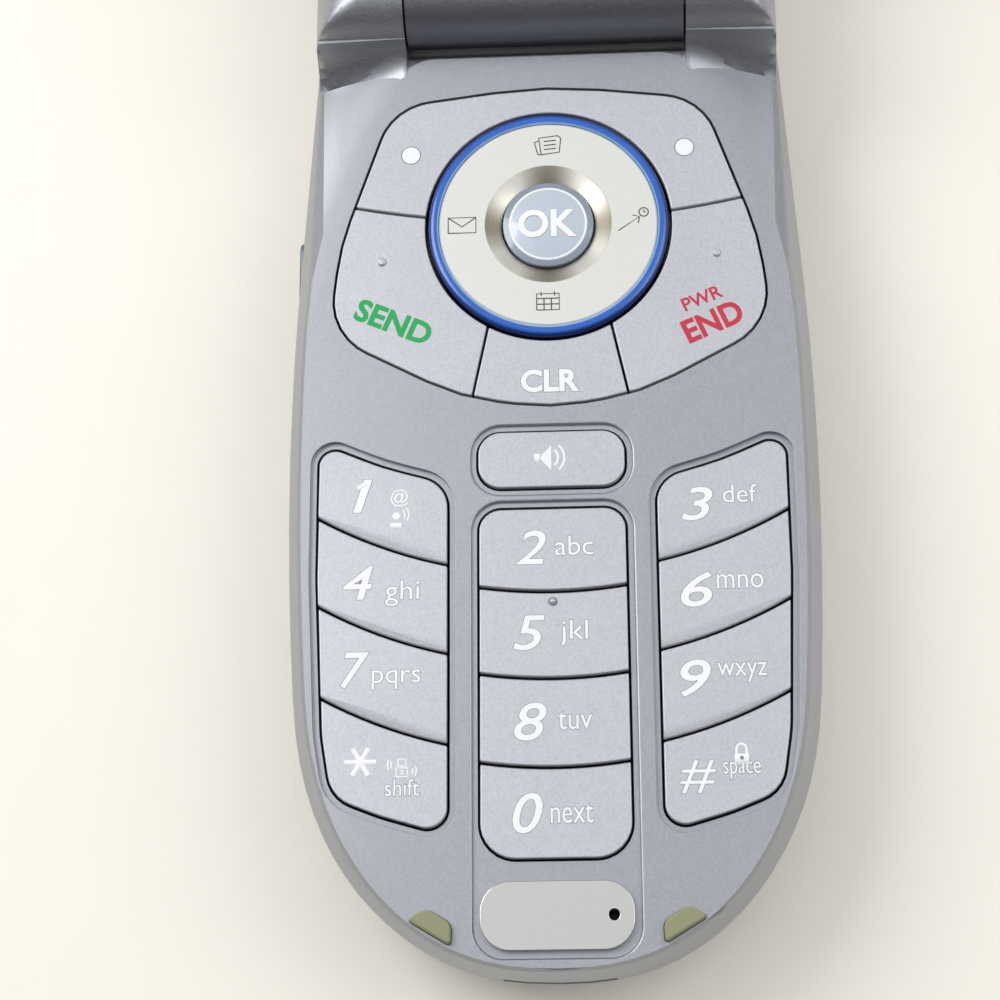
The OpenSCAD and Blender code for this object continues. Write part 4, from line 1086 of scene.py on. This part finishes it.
@dataclass
class Knuckle(Assembly):
    """One hinge knuckle's painted skin, blended into the shoulder."""

    side: int
    hinge_y: float = 44.65
    hinge_z: float = 14.9
    radius: float = 4.7
    inner_x: float = 12.87
    outer_x: float = 21.12
    blend_in: float = 2.8
    blend_out: float = 6.0
    crown_x: float = 12.45
    crown_z: float = 13.2
    crown_rise: float = 6.42
    slope_from: float = 13.3
    slope: float = 0.44
    power: float = 2.8
    barrel_start: float = 80.0
    barrel_steps: int = 16
    hollow_steps: int = 10
    sunk: float = 0.4

    def build(self) -> None:
        """Bridges rings of points along the hinge axis into a closed skin."""
        work = bmesh.new()
        stations = [0.0, 0.05, 0.2, 0.35, 0.5, 0.62, 0.74, 0.84, 0.92, 0.97, 1.0]
        rings = [self.ring(work, share) for share in stations]
        for one, two in zip(rings, rings[1:]):
            bmesh.ops.bridge_loops(work, edges=one + two)
        for ring in (rings[0], rings[-1]):
            bmesh.ops.contextual_create(work, geom=ring)
        if self.side < 0:
            bmesh.ops.scale(work, vec=(-1, 1, 1), verts=work.verts)
        bmesh.ops.recalc_face_normals(work, faces=work.faces)
        name = "knuckle_skin_left" if self.side < 0 else "knuckle_skin_right"
        piece = self.shop.from_bmesh(name, work, self.finishes.housing, "base", 50.0)

    def ring(self, work: bmesh.types.BMesh, share: float) -> list[bmesh.types.BMEdge]:
        """Adds one closed ring of points round the knuckle and its blend.

        Args:
            work: The bmesh in millimetres.
            share: Place from the inner end to the outer, from 0 to 1.

        Returns:
            The ring's edges.
        """
        x = self.inner_x + share * (self.outer_x - self.inner_x)
        reach = min(1.0, max(0.0, (x - self.crown_x) / (self.outer_x + 0.06 - self.crown_x)))
        crown = self.crown_z + self.crown_rise * (1.0 - reach**self.power) ** (1.0 / self.power)
        floor = KEYPAD_Z + 0.02 - self.drop(x)
        blend = self.blend_in + share * (self.blend_out - self.blend_in)
        up = floor + blend - self.hinge_z
        out = math.sqrt((self.radius + blend) ** 2 - up**2)
        meet = math.degrees(math.atan2(up, -out))
        sweep = meet - self.barrel_start
        barrel = [
            self.barrel_start + sweep * i / self.barrel_steps for i in range(self.barrel_steps + 1)
        ]
        points = [
            (self.hinge_y + self.radius * math.cos(math.radians(a)),
             self.hinge_z + self.radius * math.sin(math.radians(a)))
            for a in barrel
        ]
        start = math.degrees(math.atan2(-up, out))
        hollow = [
            start + (-90 - start) * i / self.hollow_steps for i in range(1, self.hollow_steps + 1)
        ]
        points += [
            (self.hinge_y - out + blend * math.cos(math.radians(a)),
             floor + blend + blend * math.sin(math.radians(a)))
            for a in hollow
        ]
        points += [(self.hinge_y - reach_y, floor - self.sunk) for reach_y in (out, 1.0)]
        verts = [work.verts.new((x, y, min(z, crown))) for y, z in points]
        return [work.edges.new((a, b)) for a, b in zip(verts, verts[1:] + verts[:1])]

    def drop(self, x: float) -> float:
        """How far the shoulder lies under the keypad face at this distance from the middle."""
        return self.slope * max(0.0, x - self.slope_from)


# Legends: each key's text with its left, low, right and high edges in millimetres
DIGITS: dict[str, tuple[str, Box]] = {
    "key_1": ("1", (-17.3, -4.55, -15.75, -1.56)),
    "key_2": ("2", (-3.1, -9.57, -0.62, -6.57)),
    "key_3": ("3", (11.25, -5.95, 13.85, -2.96)),
    "key_4": ("4", (-18.1, -12.39, -15.6, -9.43)),
    "key_5": ("5", (-3.4, -17.18, -0.78, -14.15)),
    "key_6": ("6", (10.95, -13.65, 13.55, -10.6)),
    "key_7": ("7", (-18.2, -20.16, -15.86, -17.08)),
    "key_8": ("8", (-3.4, -25.0, -0.72, -21.77)),
    "key_9": ("9", (10.72, -21.47, 13.22, -18.29)),
    "key_0": ("0", (-3.6, -32.84, -1.13, -29.47)),
    "key_hash": ("#", (10.4, -29.71, 13.4, -26.92)),
}
LETTERS: dict[str, tuple[str, Box]] = {
    "key_2": ("abc", (0.22, -8.84, 3.5, -7.1)),
    "key_3": ("def", (14.78, -4.42, 17.72, -2.75)),
    "key_4": ("ghi", (-14.48, -13.05, -11.5, -10.75)),
    "key_5": ("jkl", (0.6, -16.85, 2.95, -14.6)),
    "key_6": ("mno", (14.02, -12.1, 18.0, -10.8)),
    "key_7": ("pqrs", (-15.56, -20.35, -11.38, -18.65)),
    "key_8": ("tuv", (0.28, -24.12, 3.15, -22.6)),
    "key_9": ("wxyz", (13.82, -20.35, 18.0, -18.6)),
    "key_0": ("next", (-0.44, -32.06, 3.12, -30.45)),
    "key_star": ("shift", (-14.34, -29.55, -11.44, -28.1)),
    "key_hash": ("space", (14.02, -28.6, 17.15, -27.1)),
}


@dataclass
class Keypad(Assembly):
    """The number keys and the speaker key, with their print."""

    edge_round: float = 0.13
    chamfer_width: float = 0.6
    chamfer_tilt: float = 15.0
    caps: dict[str, bpy.types.Object] = field(default_factory=dict)

    def build(self) -> None:
        """Builds the caps, then prints on them."""
        names = [f"key_{n}" for n in range(1, 10)] + ["key_star", "key_0", "key_hash", "key_speaker"]
        self.caps = {name: self.shape_cap(name) for name in names}
        ink = Print(self.shop, self.finishes)
        for name, (text, box) in DIGITS.items():
            slant, weight = (0.12, 0.0) if text == "#" else (0.22, 0.04)
            ink.words(f"{name}_digit", text, box, self.caps[name], self.finishes.white, slant, weight)
        for name, (text, box) in LETTERS.items():
            ink.words(f"{name}_letters", text, box, self.caps[name], self.finishes.white)
        self.print_icons(ink)

    def shape_cap(self, name: str) -> bpy.types.Object:
        """Cuts the bevel along a side key's lower edge, rounds the cap and darkens its foot as painted shade
        in the gaps.

        Args:
            name: The key's node.

        Returns:
            The cap.
        """
        work = self.shop.copy_of(name)
        top = [v.co for v in work.verts if v.co.z > 13.3]
        left, right = min(top, key=lambda c: c.x).x, max(top, key=lambda c: c.x).x
        if min(abs(left), abs(right)) > 7.0 and name not in ("key_star", "key_hash"):
            ends = [
                min((c for c in top if abs(c.x - x) < 0.4), key=lambda c: c.y).copy() for x in (left, right)
            ]
            along = (ends[1] - ends[0]).normalized()
            across = Vector((-along.y, along.x, 0.0)).normalized()
            point = (ends[0] + ends[1]) / 2 + across * self.chamfer_width
            tilt = math.radians(self.chamfer_tilt)
            normal = Vector((0, 0, 1)) * math.cos(tilt) - across * math.sin(tilt)
            self.shop.cut_flat(work, point, normal, True)
        return self.shop.key_cap(name, work, self.edge_round, self.finishes)

    def print_icons(self, ink: Print) -> None:
        """Prints the star, sound, voice, ringer and lock signs.

        Args:
            ink: The printer.
        """
        white = self.finishes.white
        star = self.caps["key_star"]
        for i in range(3):
            a = math.radians(60 * i)
            reach = (1.35 * math.cos(a), 1.35 * math.sin(a))
            middle = (-16.45, -26.6)
            bar = [
                (middle[0] - reach[0], middle[1] - reach[1]),
                (middle[0] + reach[0], middle[1] + reach[1]),
            ]
            ink.lines(f"key_star_bar_{i}", [bar], 0.42, star, white)
        handset = [(-13.4, -27.9), (-12.45, -27.9), (-12.45, -27.15), (-13.4, -27.15), (-13.4, -27.9)]
        screen = [(-13.25, -27.0), (-12.6, -27.0), (-12.6, -26.4), (-13.25, -26.4), (-13.25, -27.0)]
        left = [arc((-13.2, -26.9), r, 150, 205, 4) for r in (0.65, 0.95)]
        right = [arc((-12.6, -27.4), r, -30, 25, 4) for r in (0.6, 0.9)]
        keys = [[(-13.1, y), (-12.75, y)] for y in (-27.4, -27.65)]
        ink.lines("key_star_ringer", [handset, screen, *keys, *left, *right], 0.13, star, white)
        lock = self.caps["key_hash"]
        shackle = [(15.18, -26.55), *arc((15.6, -26.0), 0.42, 180, 0, 8), (16.02, -26.55)]
        ink.lines("key_hash_shackle", [shackle], 0.2, lock, white)
        ink.lines("key_hash_lock", [[(15.0, -26.85), (16.2, -26.85)]], 0.85, lock, white)
        ink.blot("key_hash_keyhole", (15.6, -26.78), 0.15, lock, self.finishes.grey, 0.2)
        speaker = self.caps["key_speaker"]
        ink.lines("key_speaker_box", [[(-1.5, 0.0), (-1.0, 0.0)]], 0.75, speaker, white)
        ink.words("key_speaker_horn", "◀", (-1.05, -1.15, 0.0, 1.15), speaker, white, rim=False)
        sound = [arc((-0.35, 0.0), r, -48, 48) for r in (0.95, 1.5)]
        ink.lines("key_speaker_waves", sound, 0.2, speaker, white)
        one = self.caps["key_1"]
        ink.lines("key_1_flag", [[(-16.15, -1.85), (-16.95, -2.35)]], 0.4, one, white)
        ink.words("key_1_at", "@", (-14.05, -4.1, -12.5, -2.5), one, white, rim=False)
        ink.blot("key_1_head", (-13.55, -4.95), 0.33, one, white)
        ink.lines("key_1_shoulders", [[(-14.05, -5.85), (-13.05, -5.85)]], 0.5, one, white)
        voice = [arc((-13.4, -4.85), r, -35, 45, 5) for r in (0.6, 0.95)]
        ink.lines("key_1_voice", voice, 0.13, one, white)
        five = self.caps["key_5"]
        ink.blot("key_5_pip_shadow", (-0.03, -12.91), 0.42, five, self.finishes.grey)
        pip = bmesh.new()
        bmesh.ops.create_uvsphere(pip, u_segments=20, v_segments=10, radius=0.3)
        bmesh.ops.translate(pip, verts=pip.verts, vec=(-0.03, -12.91, 13.55))
        self.shop.from_bmesh("key_5_pip", pip, self.finishes.keycap, "key_5_cap")


@dataclass
class Cluster(Assembly):
    """The navigation key, the soft keys and the call keys, with their print."""

    ring_outer: float = 10.85
    ring_inner: float = 9.9
    plate_z: float = 14.05
    dish_outer: float = 5.7
    ok_radius: float = 4.1
    ok_gap: float = 0.14
    edge_round: float = 0.14
    caps: dict[str, bpy.types.Object] = field(default_factory=dict)

    def build(self) -> None:
        """Builds every key of the cluster and its print."""
        for name in ("soft_keys", "key_send", "key_end", "key_clear"):
            work = self.shop.copy_of(name)
            self.caps[name] = self.shop.key_cap(name, work, self.edge_round, self.finishes)
        self.build_navigation()
        self.build_middle_button()
        self.print_words()

    def build_navigation(self) -> None:
        """Turns the blue ring, the plate and the conical dish."""
        shop, use = self.shop, self.finishes
        centre = Vector((0.0, NAV_Y, 0.0))
        top = KEYPAD_Z + 0.45
        outer, inner = self.ring_outer, self.ring_inner
        crown = [
            (outer - 0.6 + 0.6 * math.cos(a), top - 0.5 + 0.5 * math.sin(a))
            for a in (math.radians(i * 15) for i in range(7))
        ]
        lip = [(inner + 0.12, top - 0.02), (inner, top - 0.12)]
        profile = [(inner, KNOB_FOOT_Z), (outer, KNOB_FOOT_Z), *crown, *lip]
        ring = shop.turned("nav_ring_acrylic", profile, centre, use.ring, "nav_pad")
        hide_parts("nav_ring")
        hole = self.ok_radius + self.ok_gap
        face = self.plate_z
        plate_profile = [
            (self.dish_outer, KNOB_FOOT_Z), (inner - 0.05, KNOB_FOOT_Z), (inner - 0.05, face - 0.14),
            (inner - 0.2, face), (self.dish_outer, face),
        ]
        self.plate = shop.turned("nav_plate", plate_profile, centre, use.plate, "nav_pad")
        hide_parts("nav_disc")
        dish_profile = [
            (hole, KNOB_FOOT_Z), (self.dish_outer + 0.001, KNOB_FOOT_Z),
            (self.dish_outer + 0.001, face + 0.005),
            (self.dish_outer - 0.06, face + 0.005), (hole, face - 0.6),
        ]
        dish = shop.turned("nav_dish", dish_profile, centre, use.dish, "nav_pad")
        shop.dress(use.dark, "nav_frame")
        self.engrave_icons()

    def engrave_icons(self) -> None:
        """Draws four plain line signs on the plate."""
        ink = Print(self.shop, self.finishes)
        page = [(-0.55, 28.9), (1.1, 29.1), (1.25, 30.5), (0.95, 30.75), (-0.75, 30.55), (-0.55, 28.9)]
        rows = [[(-0.3, y), (0.8, y + 0.1)] for y in (29.4, 29.8, 30.2)]
        sheet = [(-0.75, 30.3), (-1.15, 30.1), (-0.85, 28.95), (-0.6, 28.85)]
        envelope = [(-9.0, 21.4), (-6.5, 21.4), (-6.5, 22.9), (-9.0, 22.9), (-9.0, 21.4)]
        flap = [(-9.0, 22.9), (-7.75, 22.0), (-6.5, 22.9)]
        arrow = [(6.3, 21.2), (8.2, 22.5), (7.6, 22.7)]
        head = [(8.2, 22.5), (8.1, 21.9)]
        clock = arc((8.6, 22.95), 0.42, 0, 360, 14)
        hands = [(8.6, 23.2), (8.6, 22.95), (8.8, 22.95)]
        leaf = [(-1.1, 13.75), (0.9, 13.75), (0.9, 15.3), (-1.1, 15.3), (-1.1, 13.75)]
        header = [(-1.1, 14.85), (0.9, 14.85)]
        columns = [[(x, 13.75), (x, 14.85)] for x in (-0.45, 0.2)]
        week = [(-1.1, 14.3), (0.9, 14.3)]
        rings = [[(x, 15.1), (x, 15.5)] for x in (-0.7, 0.5)]
        signs = {
            "nav_page_sign": [page, *rows, sheet],
            "nav_letter_sign": [envelope, flap],
            "nav_shortcut_sign": [arrow, head, clock, hands],
            "nav_calendar_sign": [leaf, header, *columns, week, *rings],
        }
        for name, strokes in signs.items():
            ink.lines(name, strokes, 0.12, self.plate, self.finishes.etched)

    def build_middle_button(self) -> None:
        """Turns the domed middle button and prints its two letters."""
        shop, use = self.shop, self.finishes
        radius, low, rim, crown = self.ok_radius, 11.3, KEYPAD_Z + 0.15, 0.4
        ball = (radius * radius + crown * crown) / (2 * crown)
        dome = [
            (ball * math.sin(a), rim + crown - ball + ball * math.cos(a))
            for a in (math.asin(radius / ball) * (1 - i / 8) for i in range(1, 9))
        ]
        profile = [(0.0, low), (radius, low), (radius, rim - 0.12), (radius - 0.06, rim), *dome]
        cap = shop.turned("ok_cap", profile, Vector((0.0, NAV_Y, 0.0)), use.dome, "key_ok_cap", 96)
        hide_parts("key_ok")
        ink = Print(shop, use)
        ink.lines("ok_circle", [arc((0.0, NAV_Y), 3.42, 0, 360, 64)], 0.2, cap, use.white)
        box = (-2.6, 20.8, 2.35, 23.3)
        ink.words("ok_letters", "OK", box, cap, use.white, weight=0.1, rim=False, lift=0.06)

    def print_words(self) -> None:
        """Prints the call words and the two soft-key dots."""
        use = self.finishes
        ink = Print(self.shop, use)
        for key, name, text, box, colour, weight, turn in (
            ("key_send", "send_word", "SEND", (-17.4, 12.1, -10.4, 14.1), use.green, 0.1, -23.0),
            ("key_end", "end_word", "END", (11.8, 11.35, 17.1, 13.4), use.red, 0.09, 23.0),
            ("key_end", "power_word", "PWR", (11.75, 14.0, 15.35, 15.2), use.red, 0.03, 22.0),
            ("key_clear", "clear_word", "CLR", (-2.5, 6.2, 2.35, 8.15), use.white, 0.1, 0.0),
        ):
            rim = key == "key_clear"
            ink.words(name, text, box, self.caps[key], colour, weight=weight, turn=turn, rim=rim)
        for side in (-1, 1):
            dot = (12.42 * side, 29.36)
            name = "left" if side < 0 else "right"
            ink.blot(f"soft_{name}_dot_rim", dot, 0.92, self.caps["soft_keys"], use.grey, 0.006)
            ink.blot(f"soft_{name}_dot", dot, 0.82, self.caps["soft_keys"], use.white)


@dataclass
class Lid(Assembly):
    """The raised half with its two windows."""

    def build(self) -> None:
        """Dresses the lid's shells and everything in them."""
        use = self.finishes
        self.round_all(
            # The lid's shells take the silver darkened as painted shade
            ("lid_inner", use.lid, 0.15),
            ("lid_outer", use.lid, 0.15),
            ("main_window", use.window, 0.12),
            ("outer_window", use.window, 0.12),
            ("screw_plugs", use.rubber, 0.1),
            ("main_display", use.dark, 0.2),
            ("outer_display", use.dark, 0.2),
            ("earpiece", use.dark, 0.2),
            ("closing_magnet", use.steel, 0.15),
            ("lid_screws", use.black_screw, 0.1),
        )
        self.shop.dress(use.board, "lid_board")


@dataclass
class Hinge(Assembly):
    """The parts that turn on the hinge axis."""

    def build(self) -> None:
        """Dresses the hinge's parts."""
        use = self.finishes
        self.round_all(
            ("hinge_shaft", use.steel, 0.12),
            ("hinge_can", use.steel, 0.12),
            ("hinge_cam", use.acetal, 0.08),
            ("hinge_bush", use.acetal, 0.1),
        )
        self.shop.dress(use.steel, "hinge_spring")
        self.shop.dress(use.copper, "hinge_flex")


@dataclass
class Electronics(Assembly):
    """What the keypad half holds inside."""

    def build(self) -> None:
        """Dresses the boards and the parts on them."""
        shop, use = self.shop, self.finishes
        shop.dress(use.board, "main_board")
        shop.rounded_node("shield_cans", use.cans, 0.25)
        shop.dress(use.film, "dome_sheet")
        shop.dress(use.silicone, "keymat")
        shop.dress(use.copper, "antenna")
        self.round_all(
            ("microphone", use.dark, 0.15),
            ("loudspeaker", use.dark, 0.25),
            ("vibration_motor", use.steel, 0.15),
            ("charge_connector", use.steel, 0.12),
            ("headset_jack", use.dark, 0.15),
            ("battery_contacts", use.copper, 0.06),
        )


@dataclass
class Studio:
    """Floor, soft light and the camera at the photograph's angle."""

    finishes: Finishes
    camera_at: Triple = (6.69, -66.56, 212.14)
    camera_right: Triple = (0.9983, -0.0060, -0.0582)
    camera_up: Triple = (0.0233, 0.9535, 0.3005)
    lens: float = 86.4
    floor_glow: float = 0.14

    def build(self) -> None:
        """Builds floor, lights, world and camera."""
        self.lay_floor()
        self.hang_lamp("key_lamp", (-260.0, 130.0, 330.0), (260.0, 260.0), 0.9)
        self.hang_lamp("fill_lamp", (260.0, 60.0, 300.0), (260.0, 260.0), 0.35)
        self.set_world()
        self.set_camera()

    def lay_floor(self) -> None:
        """Lays a wide pale floor under the phone."""
        work = bmesh.new()
        bmesh.ops.create_grid(work, x_segments=1, y_segments=1, size=3.0)
        mesh = as_mesh("floor", work)
        mesh.materials.append(self.finishes.floor)
        self.lift_floor(self.finishes.floor)
        put("floor", mesh)

    def lift_floor(self, finish: bpy.types.Material) -> None:
        """Lightens the floor as the camera and reflections see it, and keeps its shadow.

        Args:
            finish: The floor's material.
        """
        tree = finish.node_tree
        shader = tree.nodes["Principled BSDF"]
        path = add_node(tree, "ShaderNodeLightPath").outputs
        seen = maths(tree, "MAXIMUM", path["Is Camera Ray"], path["Is Glossy Ray"])
        glow = maths(tree, "MULTIPLY", seen, self.floor_glow)
        shader.inputs["Emission Color"].default_value = linear(Shade.FLOOR)
        tree.links.new(glow, shader.inputs["Emission Strength"])

    def hang_lamp(self, name: str, at: Triple, size: Point, power: float) -> None:
        """Hangs a soft area lamp that points at the phone.

        Args:
            name: The lamp's name.
            at: Its place in millimetres.
            size: Its width and height in millimetres.
            power: Its power in watts.
        """
        data = bpy.data.lights.new(name, "AREA")
        data.shape = "RECTANGLE"
        data.size, data.size_y = size[0] * MM, size[1] * MM
        data.energy = power
        lamp = put(name, data)
        lamp.location = Vector(at) * MM
        aim = Vector((0.0, 0.0, 0.01)) - lamp.location
        lamp.rotation_euler = aim.to_track_quat("-Z", "Y").to_euler()

    def set_world(self) -> None:
        """Sets a plain soft sky, brighter overhead and darker behind the photographer."""
        world = bpy.data.worlds.new("soft_room")
        world.use_nodes = True
        tree = world.node_tree
        background = tree.nodes["Background"]
        direction = add_node(tree, "ShaderNodeTexCoord").outputs["Generated"]
        split = add_node(tree, "ShaderNodeSeparateXYZ", {0: direction}).outputs
        height = map_range(tree, split["Z"], 0.25, 0.85)
        behind = map_range(tree, split["Y"], 0.08, 1.0, -0.75, 0.05)
        tree.links.new(maths(tree, "MULTIPLY", height, behind), background.inputs["Strength"])
        background.inputs["Color"].default_value = (0.95, 0.97, 1.0, 1.0)
        bpy.context.scene.world = world

    def set_camera(self) -> None:
        """Places the camera that the photograph was taken with."""
        data = bpy.data.cameras.new("camera")
        data.lens = self.lens
        data.sensor_width = 36.0
        data.clip_start = 0.005
        camera = put("camera", data)
        right = Vector(self.camera_right).normalized()
        up = Vector(self.camera_up)
        up = (up - right * up.dot(right)).normalized()
        turn = Matrix((right, up, right.cross(up))).transposed().to_4x4()
        camera.matrix_world = Matrix.Translation(Vector(self.camera_at) * MM) @ turn
        bpy.context.scene.camera = camera


def main() -> None:
    """Builds the phone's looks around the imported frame."""
    logging.basicConfig(level=logging.INFO, format="%(message)s")
    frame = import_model()
    bpy.context.scene.view_settings.view_transform = "Standard"
    finishes = Finishes()
    shop = Workshop(frame)
    Housing(shop, finishes).build()
    for side in (-1, 1):
        Knuckle(shop, finishes, side).build()
    for group in (Keypad, Cluster, Lid, Hinge, Electronics):
        group(shop, finishes).build()
    Studio(finishes).build()


if __name__ == "__main__":
    main()
